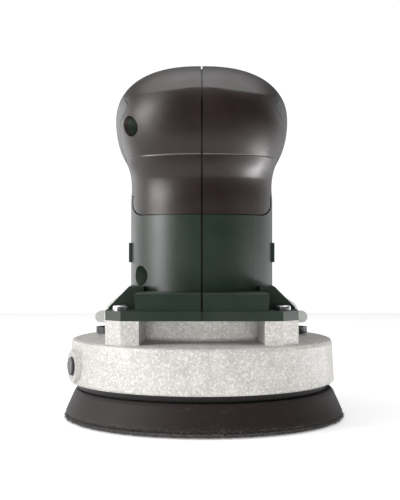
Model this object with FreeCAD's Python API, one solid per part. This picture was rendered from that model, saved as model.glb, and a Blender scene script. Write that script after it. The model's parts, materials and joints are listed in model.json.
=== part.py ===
"""A corded random orbital sander: backing pad, cast fan housing, upright motor and rear handle.

Millimetres. The origin is on the motor axis, in the plane of the hook tips that the tool rests on.
-Y is the tool's front, +Y runs along the handle to its rear end, and +Z is up.
Each function returns one named sub-part, and main() writes them all as STEP files.
"""

import FreeCAD
import Part
import math
import os

V = FreeCAD.Vector
X_AXIS, Y_AXIS, Z_AXIS = V(1, 0, 0), V(0, 1, 0), V(0, 0, 1)
FAR = 400.0  # longer than anything in the tool, for cutting tools

# ---------------------------------------------------------------- driving dimensions
# backing pad
PAD_RADIUS = 75.0
PAD_TOP_RADIUS = 69.3
HOOK_HEIGHT = 1.8
PAD_TOP = 15.5
PAD_CENTRE_HOLE_RADIUS = 9.0
DUST_HOLE_RADIUS = 5.0
DUST_HOLE_CIRCLE_RADIUS = 40.0
DUST_HOLE_COUNT = 8
CARRIER_RADIUS = 58.0
CARRIER_THICKNESS = 4.0
CARRIER_PROUD = 1.0

# random orbit drive
ORBIT_RADIUS = 2.5
ORBIT_REST_ANGLE = -60.0  # where the crank points at rest, degrees from +X about +Z
CLEARANCE = 0.3
BALL_CLEARANCE = 0.05

# fan housing (aluminium casting)
RIM_RADIUS = 72.0
RIM_TOP_RADIUS = 71.0
RIM_WALL = 4.0
RIM_BOTTOM = 19.1
DECK_EDGE_TOP = 42.0
DECK_CENTRE_TOP = 43.2
DECK_THICKNESS = 3.2
NECK_RADIUS = 40.0
NECK_WALL = 4.5
FLANGE_BOTTOM = 54.2
FLANGE_THICKNESS = 4.9
FLANGE_HALF_WIDTH = 48.8
FLANGE_HALF_DEPTH = 55.0
FLANGE_CHAMFER = 8.4
FLANGE_SCREW_X = 41.0
FLANGE_SCREW_Y = 45.0
LUG_INNER_X = 31.3
VENT_X, VENT_Y = 51.5, 8.0
VENT_RADIUS = 7.2
OUTLET_WIDTH, OUTLET_LOW, OUTLET_HIGH = 46.0, 21.0, 38.5

# lock button in the rim
LOCK_AZIMUTH = 67.0  # degrees from the front towards -X
LOCK_HEIGHT = 29.0
LOCK_BOSS_RADIUS = 8.5
LOCK_BUTTON_RADIUS = 4.8
LOCK_PIN_RADIUS = 2.5
FAN_RADIUS = 59.0
LOCK_NOTCHES = 12

# motor
SHAFT_RADIUS = 5.0
BEARING_SEAT_SHAFT_RADIUS = 7.5
CORE_BOTTOM, CORE_TOP = 88.0, 118.0
CORE_RADIUS = 33.5
ARMATURE_RADIUS = 19.0
ARMATURE_AIR_GAP = 0.6
COMMUTATOR_RADIUS, COMMUTATOR_BOTTOM, COMMUTATOR_TOP = 11.5, 127.0, 138.0
BRUSH_WIDTH, BRUSH_HEIGHT, BRUSH_LENGTH = 5.0, 7.0, 10.0
TOP_BEARING_BOTTOM = 141.0
BAFFLE_BOTTOM = 60.0

# plastic shells
MOTOR_RADIUS = 38.7
BODY_WALL = 3.8
GRIP_THICKNESS = 1.8
GROOVE = 0.35
SEAM_HALF_WIDTH = 0.3
SEAM_DEPTH = 0.7
BLOCK_HALF_WIDTH = 34.0
BLOCK_HALF_DEPTH = 54.0
BLOCK_TOP = 68.2
HANDLE_END = 158.0
SCREW_POCKET_RADIUS = 5.3
SCREW_HEAD_RADIUS = 3.6
SCREW_SHANK_RADIUS = 1.9
# where each shell screw crosses the middle plane, and how far out its head sits: (y, z, seat)
SHELL_SCREWS = [
    (-35.5, 153.4, 24.0),
    (-21.0, 76.0, 20.0),
    (24.0, 76.0, 18.0),
    (34.0, 174.0, 26.0),
    (80.0, 150.0, 14.0),
    (104.0, 146.5, 12.0),
    (148.0, 144.5, 10.0),
]

# controls and cord inlet
SLIDE_Y, SLIDE_LENGTH, SLIDE_WIDTH = 78.0, 26.0, 15.0
SLIDE_BED = 177.2
SLIDE_TRAVEL = 6.0
STEM_LENGTH, STEM_WIDTH = 8.0, 4.0
WHEEL_Y, WHEEL_Z, WHEEL_RADIUS, WHEEL_WIDTH = 112.0, 165.5, 12.5, 7.0
WHEEL_AXLE_RADIUS = 2.0
MODULE_LOW = WHEEL_Z - 10.5
CLAMP_Y, CLAMP_X, CLAMP_TOP = 130.5, 7.0, 152.0
INLET_RADIUS = 4.2
INLET_WALL = 3.0
INLET_START = 136.0
INLET_Z = 157.0

# dust outlet and bag
DUCT_HALF_WIDTH = 25.5
DUCT_LOW, DUCT_HIGH = 19.6, 53.6
DUCT_WALL = 3.0
DUCT_END = 88.0
DUCT_TAB_HALF_WIDTH = 36.0
DUCT_TAB_BACK = 70.0
DUCT_SCREW_X, DUCT_SCREW_Z = 31.0, 30.0
SPIGOT_Z = 36.5
SPIGOT_RADIUS, SPIGOT_BORE = 16.5, 14.0
SPIGOT_END = 104.0
COLLAR_WALL = 2.6
COLLAR_END = 110.0
COLLAR_FLANGE_RADIUS = 22.5
CLIP_Z = 42.4
CLIP_START, CLIP_END = 161.0, 170.0
CLIP_HALF_LENGTH = 75.0
CLIP_HEIGHT = 8.0
# the bag's sections: distance back, half width, half height, middle height
BAG_STATIONS = [
    (COLLAR_END, 21.0, 19.0, 37.0),
    (114.0, 33.0, 22.6, 38.2),
    (122.0, 50.0, 24.6, 40.0),
    (132.0, 62.5, 25.0, 41.6),
    (142.0, 67.2, 24.2, 42.4),
    (150.0, 67.6, 20.6, 42.4),
    (157.0, 66.6, 12.0, 42.4),
    (161.0, 65.4, 5.0, 42.4),
    (163.0, 65.0, 3.0, 42.4),
]
BAG_ROUNDNESS = 2.6

ORBIT_X = ORBIT_RADIUS * math.cos(math.radians(ORBIT_REST_ANGLE))
ORBIT_Y = ORBIT_RADIUS * math.sin(math.radians(ORBIT_REST_ANGLE))
FLANGE_TOP = FLANGE_BOTTOM + FLANGE_THICKNESS


# ---------------------------------------------------------------- shape helpers
def cylinder(radius, low, high, x=0.0, y=0.0):
    """An upright cylinder between two heights."""
    return Part.makeCylinder(radius, high - low, V(x, y, low))


def tube(outer, inner, low, high, x=0.0, y=0.0):
    return cylinder(outer, low, high, x, y).cut(cylinder(inner, low - 1, high + 1, x, y))


def rod(radius, start, end):
    """A cylinder from one point to another."""
    along = end.sub(start)
    return Part.makeCylinder(radius, along.Length, start, along)


def block(x0, x1, y0, y1, z0, z1):
    return Part.makeBox(x1 - x0, y1 - y0, z1 - z0, V(x0, y0, z0))


def turned(points, x=0.0, y=0.0):
    """A solid of revolution about an upright axis, from (radius, height) points."""
    corners = [V(x + r, y, z) for r, z in points]
    face = Part.Face(Part.makePolygon(corners + corners[:1]))
    return face.revolve(V(x, y, 0), Z_AXIS, 360)


def plan_prism(points, low, high):
    """A prism from an outline seen from above."""
    corners = [V(x, y, low) for x, y in points]
    return Part.Face(Part.makePolygon(corners + corners[:1])).extrude(V(0, 0, high - low))


def polar(shape, count, x=0.0, y=0.0):
    """Copies of a shape, evenly turned about an upright axis."""
    copies = []
    for i in range(count):
        copy = shape.copy()
        copy.rotate(V(x, y, 0), Z_AXIS, 360.0 * i / count)
        copies.append(copy)
    return copies


def mirrored(shape):
    """The same piece on the other side of the tool's middle plane."""
    return shape.mirror(V(0, 0, 0), X_AXIS)


def joined(shapes):
    return shapes[0].multiFuse(shapes[1:]).removeSplitter()


def without(shape, tools):
    return shape.cut(Part.makeCompound(tools)) if tools else shape


def rounded_outline(points, radius):
    """A closed wire in the (y, z) plane whose corners are tangent arcs of up to the given radius."""
    corners = [V(0, y, z) for y, z in points]
    n = len(corners)
    edges = []
    arcs = []
    for i, corner in enumerate(corners):
        to_last = corners[i - 1].sub(corner)
        to_next = corners[(i + 1) % n].sub(corner)
        half = to_last.getAngle(to_next) / 2
        reach = min(radius / math.tan(half), 0.45 * to_last.Length, 0.45 * to_next.Length)
        r = reach * math.tan(half)
        a = corner.add(V(to_last).normalize().multiply(reach))
        b = corner.add(V(to_next).normalize().multiply(reach))
        middle = V(to_last).normalize().add(V(to_next).normalize()).normalize()
        top = corner.add(middle.multiply(r / math.sin(half) - r))
        arcs.append((a, top, b))
    for i, (a, top, b) in enumerate(arcs):
        edges.append(Part.Arc(a, top, b).toShape())
        edges.append(Part.LineSegment(b, arcs[(i + 1) % n][0]).toShape())
    return Part.Wire(edges)


# ---------------------------------------------------------------- the shells' outer form
# The sections follow the body from the motor's foot up, round the head, and back along the handle.
# Up to the head their planes are level, round the head they turn about a line across the tool at
# (TURN_Y, TURN_Z), and along the handle they are upright.
TURN_Y, TURN_Z = 52.0, 116.0
SECTION_POINTS = 24
SECTION_START = 3  # so that the surface's own seam keeps clear of the tool's middle plane

# level sections: height
LEVEL_STATIONS = [FLANGE_BOTTOM, 65.0, 76.0, 88.0, 100.0, 110.0]
# turning sections: angle, inner and outer distance from the turning line, half width, roundness
# (2 is an ellipse, more is squarer), and how much wider the outer side is than the inner side
TURNING_STATIONS = [
    (0.0, 13.3, 90.7, 38.7, 2.0, 0.0),
    (6.0, 13.4, 90.6, 38.3, 2.05, 0.0),
    (11.0, 13.6, 94.2, 38.3, 2.1, 0.02),
    (15.5, 13.9, 103.4, 39.0, 2.15, 0.07),
    (20.5, 14.2, 110.9, 41.2, 2.25, 0.09),
    (25.5, 14.6, 114.4, 43.8, 2.3, 0.08),
    (30.0, 15.0, 113.4, 45.4, 2.35, 0.06),
    (36.0, 15.6, 108.9, 46.6, 2.4, 0.04),
    (43.0, 16.4, 102.3, 47.4, 2.4, 0.02),
    (51.0, 17.3, 94.3, 47.5, 2.4, 0.0),
    (61.0, 18.6, 84.9, 46.6, 2.4, 0.0),
    (74.0, 20.4, 75.8, 43.6, 2.35, 0.0),
    (90.0, 22.5, 69.3, 38.6, 2.3, 0.0),
]
# upright sections: distance back, low and high edge, half width, roundness
HANDLE_STATIONS = [
    (66.0, 140.6, 182.4, 33.0, 2.3),
    (84.0, 140.6, 179.2, 27.4, 2.3),
    (104.0, 138.8, 176.6, 24.2, 2.3),
    (126.0, 136.4, 174.6, 23.4, 2.3),
    (144.0, 134.8, 173.4, 23.6, 2.3),
    (152.0, 135.2, 172.4, 22.8, 2.3),
    (156.4, 137.6, 170.0, 20.4, 2.3),
    (158.0, 141.0, 166.6, 17.0, 2.3),
]


def section(origin, direction, inner, outer, half_width, roundness, skew):
    """Points round one closed section: origin and direction are (y, z), and width lies along X."""
    middle, half = (inner + outer) / 2, (outer - inner) / 2
    points = []
    for i in range(SECTION_POINTS):
        turn = 2 * math.pi * (i + SECTION_START) / SECTION_POINTS
        c, s = math.cos(turn), math.sin(turn)
        power = 2.0 / roundness
        along = math.copysign(abs(c) ** power, c)
        across = math.copysign(abs(s) ** power, s)
        reach = middle + half * along
        x = half_width * (1 + skew * along) * across
        points.append(V(x, origin[0] + reach * direction[0], origin[1] + reach * direction[1]))
    return points


def body_sections(inset):
    """The sections' points, taken in by inset on every side."""
    rows = []
    for z in LEVEL_STATIONS:
        inner, outer = TURN_Y - MOTOR_RADIUS + inset, TURN_Y + MOTOR_RADIUS - inset
        low = z - inset * (LEVEL_STATIONS[-1] - z) / (LEVEL_STATIONS[-1] - FLANGE_BOTTOM)
        rows.append(section((TURN_Y, low), (-1, 0), inner, outer, MOTOR_RADIUS - inset, 2.0, 0.0))
    for angle, inner, outer, width, roundness, skew in TURNING_STATIONS:
        way = (-math.cos(math.radians(angle)), math.sin(math.radians(angle)))
        row = section((TURN_Y, TURN_Z), way, inner + inset, outer - inset, width - inset, roundness, skew)
        rows.append(row)
    for y, low, high, width, roundness in HANDLE_STATIONS:
        back = y - inset * (y - HANDLE_STATIONS[0][0]) / (HANDLE_END - HANDLE_STATIONS[0][0])
        rows.append(section((back, 0), (0, 1), low + inset, high - inset, width - inset, roundness, 0.0))
    return rows


def skinned_solid(rows):
    """A closed solid whose smooth side passes through every row of points."""
    steps = [float(i) for i in range(SECTION_POINTS + 1)]
    curves = []
    for row in rows:
        curve = Part.BSplineCurve()
        curve.interpolate(Points=row, Parameters=steps, PeriodicFlag=True)
        curves.append(curve)
    lengths = [0.0]
    for last, row in zip(rows, rows[1:]):
        gaps = [a.distanceToPoint(b) for a, b in zip(last, row)]
        lengths.append(lengths[-1] + max(gaps))
    columns = []
    for poles in zip(*[curve.getPoles() for curve in curves]):
        column = Part.BSplineCurve()
        column.interpolate(Points=list(poles), Parameters=lengths)
        columns.append(column)
    across, along = curves[0], columns[0]
    surface = Part.BSplineSurface()
    surface.buildFromPolesMultsKnots(
        [column.getPoles() for column in columns],
        across.getMultiplicities(),
        along.getMultiplicities(),
        across.getKnots(),
        along.getKnots(),
        True,
        False,
        across.Degree,
        along.Degree,
    )
    side = surface.toShape()
    ends = [edge for edge in side.Edges if edge.isClosed()]
    caps = [Part.Face(Part.Wire(edge)) for edge in ends]
    shell = Part.Shell([side] + caps)
    shell.sewShape()
    solid = Part.Solid(shell)
    solid.fix(1e-5, 1e-5, 1e-3)
    return solid


def body_form(inset):
    """The shells' outer form, taken in by inset, from the motor's foot to the handle's end."""
    return skinned_solid(body_sections(inset))


# ---------------------------------------------------------------- backing pad
def pad_outline():
    """The foam's outer profile, from the hooks up, as (radius, height)."""
    return [
        (PAD_RADIUS - 1.0, HOOK_HEIGHT),
        (PAD_RADIUS - 0.2, HOOK_HEIGHT + 0.7),
        (PAD_RADIUS, HOOK_HEIGHT + 1.6),
        (PAD_TOP_RADIUS + 1.0, PAD_TOP - 1.6),
        (PAD_TOP_RADIUS, PAD_TOP - 0.4),
        (PAD_TOP_RADIUS - 0.5, PAD_TOP),
    ]


def dust_holes(low, high):
    hole = cylinder(DUST_HOLE_RADIUS, low, high, ORBIT_X + DUST_HOLE_CIRCLE_RADIUS, ORBIT_Y)
    return polar(hole, DUST_HOLE_COUNT, ORBIT_X, ORBIT_Y)


CARRIER_TOP = PAD_TOP + CARRIER_PROUD
CARRIER_BOTTOM = CARRIER_TOP - CARRIER_THICKNESS


def sanding_pad():
    rim = pad_outline()
    profile = [(PAD_CENTRE_HOLE_RADIUS, HOOK_HEIGHT)] + rim + [
        (CARRIER_RADIUS, PAD_TOP),
        (CARRIER_RADIUS, CARRIER_BOTTOM),
        (PAD_CENTRE_HOLE_RADIUS, CARRIER_BOTTOM),
    ]
    return without(turned(profile, ORBIT_X, ORBIT_Y), dust_holes(0, CARRIER_TOP + 1))


def hook_face():
    disc = tube(PAD_RADIUS - 1.0, PAD_CENTRE_HOLE_RADIUS, 0, HOOK_HEIGHT, ORBIT_X, ORBIT_Y)
    return without(disc, dust_holes(-1, HOOK_HEIGHT + 1))


def pad_carrier():
    """The rigid plate bonded into the foam, with ribs and a seat for the spindle's flange."""
    plate = tube(CARRIER_RADIUS, SCREW_HOLE_RADIUS, CARRIER_BOTTOM, CARRIER_TOP, ORBIT_X, ORBIT_Y)
    seat = cylinder(SPINDLE_FLANGE_RADIUS + 0.2, CARRIER_TOP - 1.5, CARRIER_TOP + 1, ORBIT_X, ORBIT_Y)
    return without(plate, [seat] + dust_holes(CARRIER_BOTTOM - 1, CARRIER_TOP + 1))


# ---------------------------------------------------------------- bearings and spindle
SCREW_HOLE_RADIUS = 4.2
SPINDLE_FLANGE_RADIUS = 11.0
PAD_BEARING_BOTTOM, PAD_BEARING_TOP = 19.8, 34.2
PAD_BEARING_BORE, PAD_BEARING_OUTER = 6.0, 16.0
MAIN_BEARING_BOTTOM, MAIN_BEARING_TOP = 45.2, 54.2
MAIN_BEARING_OUTER = 16.0
TOP_BEARING_HEIGHT = 7.0
TOP_BEARING_OUTER = 11.0
TOP_BEARING_BORE = 4.0
BEARING_SLEEVE_WALL = 1.5


def bearing(bore, outer, low, high, rows, x=0.0, y=0.0):
    """A ball bearing as its inner race, outer race and balls."""
    step = (outer - bore) / 3
    ball = 0.36 * (outer - bore)
    pitch = (outer + bore) / 2
    heights = [low + (high - low) * (i + 0.5) / rows for i in range(rows)]
    grooves = [Part.makeTorus(pitch, ball + BALL_CLEARANCE, V(x, y, z)) for z in heights]
    inner = without(tube(bore + step, bore, low, high, x, y), grooves)
    outer_race = without(tube(outer, outer - step, low, high, x, y), grooves)
    count = int(2 * math.pi * pitch / (2.35 * ball))
    balls = []
    for z in heights:
        balls += polar(Part.makeSphere(ball, V(x + pitch, y, z)), count, x, y)
    return inner, outer_race, Part.makeCompound(balls)


def pad_spindle():
    """The stub the pad is screwed to, with a flange under the eccentric bearing."""
    shaft = cylinder(PAD_BEARING_BORE, CARRIER_TOP, PAD_BEARING_TOP - 0.4, ORBIT_X, ORBIT_Y)
    flange = cylinder(SPINDLE_FLANGE_RADIUS, CARRIER_TOP - 1.5, CARRIER_TOP, ORBIT_X, ORBIT_Y)
    shoulder = cylinder(PAD_BEARING_BORE + 2, CARRIER_TOP, PAD_BEARING_BOTTOM, ORBIT_X, ORBIT_Y)
    thread = cylinder(SPINDLE_THREAD_RADIUS, 0, CARRIER_TOP + 12, ORBIT_X, ORBIT_Y)
    return joined([shaft, flange, shoulder]).cut(thread)


SPINDLE_THREAD_RADIUS = 3.0


def hexagon(across_flats, low, high, x=0.0, y=0.0):
    reach = across_flats / 2 / math.cos(math.radians(30))
    points = []
    for i in range(6):
        turn = math.radians(60 * i)
        points.append((x + reach * math.cos(turn), y + reach * math.sin(turn)))
    return plan_prism(points, low, high)


def pad_screw():
    head_radius = PAD_CENTRE_HOLE_RADIUS - 2
    head = cylinder(head_radius, CARRIER_BOTTOM - 5.5, CARRIER_BOTTOM - 1.2, ORBIT_X, ORBIT_Y)
    shank = cylinder(SPINDLE_THREAD_RADIUS, CARRIER_BOTTOM - 1.2, CARRIER_TOP + 11, ORBIT_X, ORBIT_Y)
    socket = hexagon(5.0, CARRIER_BOTTOM - 6, CARRIER_BOTTOM - 2.5, ORBIT_X, ORBIT_Y)
    return joined([head, shank]).cut(socket)


def pad_washer():
    radius = PAD_CENTRE_HOLE_RADIUS - 1
    return tube(radius, SCREW_HOLE_RADIUS - 0.9, CARRIER_BOTTOM - 1.2, CARRIER_BOTTOM, ORBIT_X, ORBIT_Y)


# ---------------------------------------------------------------- rotor
HUB_RADIUS = 23.0
HUB_BOTTOM = 18.0
HUB_WEB_TOP = 39.0
FAN_DISC_LOW, FAN_DISC_HIGH = 28.0, 30.0
BLADE_COUNT = 12


def eccentric_hub():
    """The crank: clamped on the shaft, it holds the pad bearing off centre."""
    body = cylinder(HUB_RADIUS, HUB_BOTTOM, HUB_WEB_TOP)
    boss = cylinder(11.0, HUB_WEB_TOP, MAIN_BEARING_BOTTOM - 0.4)
    bore = cylinder(PAD_BEARING_OUTER, HUB_BOTTOM - 1, PAD_BEARING_TOP, ORBIT_X, ORBIT_Y)
    relief = cylinder(PAD_BEARING_OUTER - 3, HUB_BOTTOM, PAD_BEARING_TOP + 1, ORBIT_X, ORBIT_Y)
    shaft = cylinder(SHAFT_RADIUS, PAD_BEARING_TOP, MAIN_BEARING_BOTTOM)
    return joined([body, boss]).cut(Part.makeCompound([bore, relief, shaft]))


def bearing_circlip():
    """The snap ring that keeps the pad bearing in the hub."""
    low = PAD_BEARING_BOTTOM - 1.2
    ring = tube(PAD_BEARING_OUTER, PAD_BEARING_OUTER - 2.2, low, PAD_BEARING_BOTTOM, ORBIT_X, ORBIT_Y)
    gap = block(ORBIT_X + 8, ORBIT_X + 20, ORBIT_Y - 3, ORBIT_Y + 3, HUB_BOTTOM - 1, HUB_BOTTOM + 2)
    return ring.cut(gap)


def counterweight():
    """A steel sector opposite the crank."""
    ring = tube(HUB_RADIUS + 11, HUB_RADIUS, HUB_BOTTOM + 2.5, FAN_DISC_LOW)
    keep = Part.makeCylinder(60, 30, V(0, 0, HUB_BOTTOM), Z_AXIS, 150)
    keep.rotate(V(0, 0, 0), Z_AXIS, ORBIT_REST_ANGLE + 180 - 75)
    return ring.common(keep)


def fan_blade(inner, outer, low, high, lean):
    blade = block(inner, outer, -0.8, 0.8, low, high)
    blade.rotate(V(inner, 0, 0), Z_AXIS, lean)
    return blade


def dust_fan():
    """One moulding: its lower blades draw dust and its upper blades draw motor air."""
    disc = tube(FAN_RADIUS, HUB_RADIUS, FAN_DISC_LOW, FAN_DISC_HIGH)
    collar = tube(HUB_RADIUS + 2.5, HUB_RADIUS, FAN_DISC_LOW, FAN_DISC_HIGH + 6)
    tip = FAN_RADIUS - 6
    low = polar(fan_blade(HUB_RADIUS + 14, tip, HUB_BOTTOM + 4, FAN_DISC_LOW, 18), BLADE_COUNT)
    high = polar(fan_blade(HUB_RADIUS + 5, tip, FAN_DISC_HIGH, FAN_DISC_HIGH + 7.6, 18), BLADE_COUNT)
    notch = block(FAN_RADIUS - 4.4, FAN_RADIUS + 2, -3.2, 3.2, FAN_DISC_LOW - 1, FAN_DISC_HIGH + 1)
    notch.rotate(V(0, 0, 0), Z_AXIS, 270 - LOCK_AZIMUTH)
    return joined([disc, collar] + low + high).cut(Part.makeCompound(polar(notch, LOCK_NOTCHES)))


def armature_shaft():
    low = cylinder(SHAFT_RADIUS, PAD_BEARING_TOP + 1.2, MAIN_BEARING_BOTTOM)
    seat = cylinder(BEARING_SEAT_SHAFT_RADIUS, MAIN_BEARING_BOTTOM, MAIN_BEARING_TOP)
    shoulder = cylinder(BEARING_SEAT_SHAFT_RADIUS + 1.5, MAIN_BEARING_TOP, MAIN_BEARING_TOP + 3)
    middle = cylinder(SHAFT_RADIUS, MAIN_BEARING_TOP + 3, TOP_BEARING_BOTTOM - 1)
    tip = cylinder(TOP_BEARING_BORE, TOP_BEARING_BOTTOM - 1, TOP_BEARING_BOTTOM + TOP_BEARING_HEIGHT + 1)
    return joined([low, seat, shoulder, middle, tip])


def lamination_stack():
    """The armature's slotted steel stack."""
    stack = tube(ARMATURE_RADIUS, SHAFT_RADIUS, CORE_BOTTOM, CORE_TOP)
    slot = block(ARMATURE_RADIUS - 6, ARMATURE_RADIUS + 1, -1.0, 1.0, CORE_BOTTOM - 1, CORE_TOP + 1)
    return without(stack, polar(slot, 12))


def armature_winding():
    """The wound copper coil ends above and below the stack."""
    ends = []
    for low, high in ((CORE_BOTTOM - 5, CORE_BOTTOM), (CORE_TOP, CORE_TOP + 7)):
        middle = (low + high) / 2
        profile = [
            (SHAFT_RADIUS + 1, low + 1.5),
            (SHAFT_RADIUS + 3, low),
            (ARMATURE_RADIUS - 4, low),
            (ARMATURE_RADIUS - 1.5, middle),
            (ARMATURE_RADIUS - 4, high),
            (SHAFT_RADIUS + 1, high),
        ]
        ends.append(turned(profile))
    return Part.makeCompound(ends)


def commutator():
    drum = tube(COMMUTATOR_RADIUS, SHAFT_RADIUS, COMMUTATOR_BOTTOM, COMMUTATOR_TOP)
    riser = tube(COMMUTATOR_RADIUS + 1.5, COMMUTATOR_RADIUS, COMMUTATOR_BOTTOM, COMMUTATOR_BOTTOM + 1.6)
    inner, outer = COMMUTATOR_RADIUS - 1.2, COMMUTATOR_RADIUS + 2
    slot = block(inner, outer, -0.25, 0.25, COMMUTATOR_BOTTOM - 1, COMMUTATOR_TOP + 1)
    return joined([drum, riser]).cut(Part.makeCompound(polar(slot, 24)))


# ---------------------------------------------------------------- field and brushes
def field_core():
    """The stator's steel ring with its two pole shoes."""
    ring = tube(CORE_RADIUS, CORE_RADIUS - 5, CORE_BOTTOM, CORE_TOP)
    bore_radius = ARMATURE_RADIUS + ARMATURE_AIR_GAP
    bore = cylinder(bore_radius, CORE_BOTTOM - 1, CORE_TOP + 1)
    pole = block(-CORE_RADIUS, CORE_RADIUS, -11, 11, CORE_BOTTOM, CORE_TOP)
    pole = pole.common(cylinder(CORE_RADIUS, CORE_BOTTOM, CORE_TOP)).cut(bore)
    shoe = tube(bore_radius + 3, bore_radius, CORE_BOTTOM, CORE_TOP)
    shoe = shoe.common(block(-CORE_RADIUS, CORE_RADIUS, -17, 17, CORE_BOTTOM, CORE_TOP))
    core = joined([ring, pole, shoe])
    trimmed = []
    for y in (-31.5, 31.5):
        flat = block(-20, 20, y - 6, y + 6, CORE_BOTTOM - 1, CORE_TOP + 1)
        trimmed.append(flat.cut(cylinder(30.5, CORE_BOTTOM - 2, CORE_TOP + 2)))
    return without(core, trimmed)


def field_coil():
    """One wound coil round a pole, seen from the side as a flat frame."""
    outer = block(23.5, 28.3, -16.6, 16.6, CORE_BOTTOM - 6, CORE_TOP + 6)
    window = block(20, 30, -11.2, 11.2, CORE_BOTTOM - 0.2, CORE_TOP + 0.2)
    inside = cylinder(CORE_RADIUS - 5.2, CORE_BOTTOM - 10, CORE_TOP + 10)
    return outer.common(inside).cut(window)


def field_coils():
    coil = field_coil()
    return Part.makeCompound([coil, mirrored(coil)])


BRUSH_Z = (COMMUTATOR_BOTTOM + COMMUTATOR_TOP) / 2 + 1
BRUSH_START = COMMUTATOR_RADIUS + 0.3
HOLDER_START, HOLDER_END, HOLDER_WALL = 15.0, 31.0, 0.8


def brush_holders():
    """Two brass channels that guide the brushes."""
    half_w, half_h = BRUSH_WIDTH / 2 + 0.15, BRUSH_HEIGHT / 2 + 0.15
    low, high = BRUSH_Z - half_h, BRUSH_Z + half_h
    wall = HOLDER_WALL
    outer = block(HOLDER_START, HOLDER_END, -half_w - wall, half_w + wall, low - wall, high + wall)
    inner = block(HOLDER_START - 1, HOLDER_END - wall, -half_w, half_w, low, high)
    holder = outer.cut(inner)
    return Part.makeCompound([holder, mirrored(holder)])


def carbon_brushes():
    half_w, half_h = BRUSH_WIDTH / 2, BRUSH_HEIGHT / 2
    end = BRUSH_START + BRUSH_LENGTH
    brush = block(BRUSH_START, end, -half_w, half_w, BRUSH_Z - half_h, BRUSH_Z + half_h)
    face = cylinder(BRUSH_START, BRUSH_Z - BRUSH_HEIGHT, BRUSH_Z + BRUSH_HEIGHT)
    brush = brush.cut(face)
    return Part.makeCompound([brush, mirrored(brush)])


def coil_spring(radius, wire, length, turns, start, direction):
    """A compression spring as stacked rings joined by a helix."""
    helix = Part.makeHelix(length / turns, length, radius)
    profile = Part.Wire(Part.makeCircle(wire, V(radius, 0, 0), Y_AXIS))
    spring = Part.Wire(helix).makePipeShell([profile], True, True)
    turn = FreeCAD.Rotation(Z_AXIS, direction)
    spring.Placement = FreeCAD.Placement(start, turn)
    return spring


def brush_springs():
    length = HOLDER_END - HOLDER_WALL - BRUSH_START - BRUSH_LENGTH - 1.2
    start = V(BRUSH_START + BRUSH_LENGTH + 0.6, 0, BRUSH_Z)
    spring = coil_spring(1.7, 0.35, length, 5, start, X_AXIS)
    return Part.makeCompound([spring, mirrored(spring)])


# ---------------------------------------------------------------- fan housing
def flange_outline(grow=0.0):
    """The four-cornered flange with cut corners, seen from above."""
    w, d, c = FLANGE_HALF_WIDTH + grow, FLANGE_HALF_DEPTH + grow, FLANGE_CHAMFER
    right = [(w - c, -d), (w, c - d), (w, d - c), (w - c, d)]
    return right + [(-x, y) for x, y in reversed(right)]


def lock_frame(shape):
    """Turns a shape made along +X, at height 0, to where the lock button stands."""
    moved = shape.copy()
    moved.rotate(V(0, 0, 0), Z_AXIS, 270 - LOCK_AZIMUTH)
    moved.translate(V(0, 0, LOCK_HEIGHT))
    return moved


LOCK_BOSS_FACE = RIM_RADIUS + 1.6
LOCK_SEAT = 66.0
LOCK_CAP_BACK = 70.5
LOCK_INNER_FACE = 64.0


def screw_corners():
    return [(sx * FLANGE_SCREW_X, sy * FLANGE_SCREW_Y) for sx in (-1, 1) for sy in (-1, 1)]


def corner_lugs():
    """Four faceted lugs that carry the motor housing's corners."""
    w, d, c = FLANGE_HALF_WIDTH, FLANGE_HALF_DEPTH, FLANGE_CHAMFER
    inner = LUG_INNER_X
    outline = [
        (inner, -d),
        (w - c, -d),
        (w, c - d),
        (w, -34.0),
        (inner - 2, -26.0),
        (inner - 2, -36.0),
    ]
    lug = plan_prism(outline, DECK_EDGE_TOP - 2, FLANGE_BOTTOM)
    front = [lug, mirrored(lug)]
    back = [piece.mirror(V(0, 0, 0), Y_AXIS) for piece in front]
    return front + back


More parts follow.
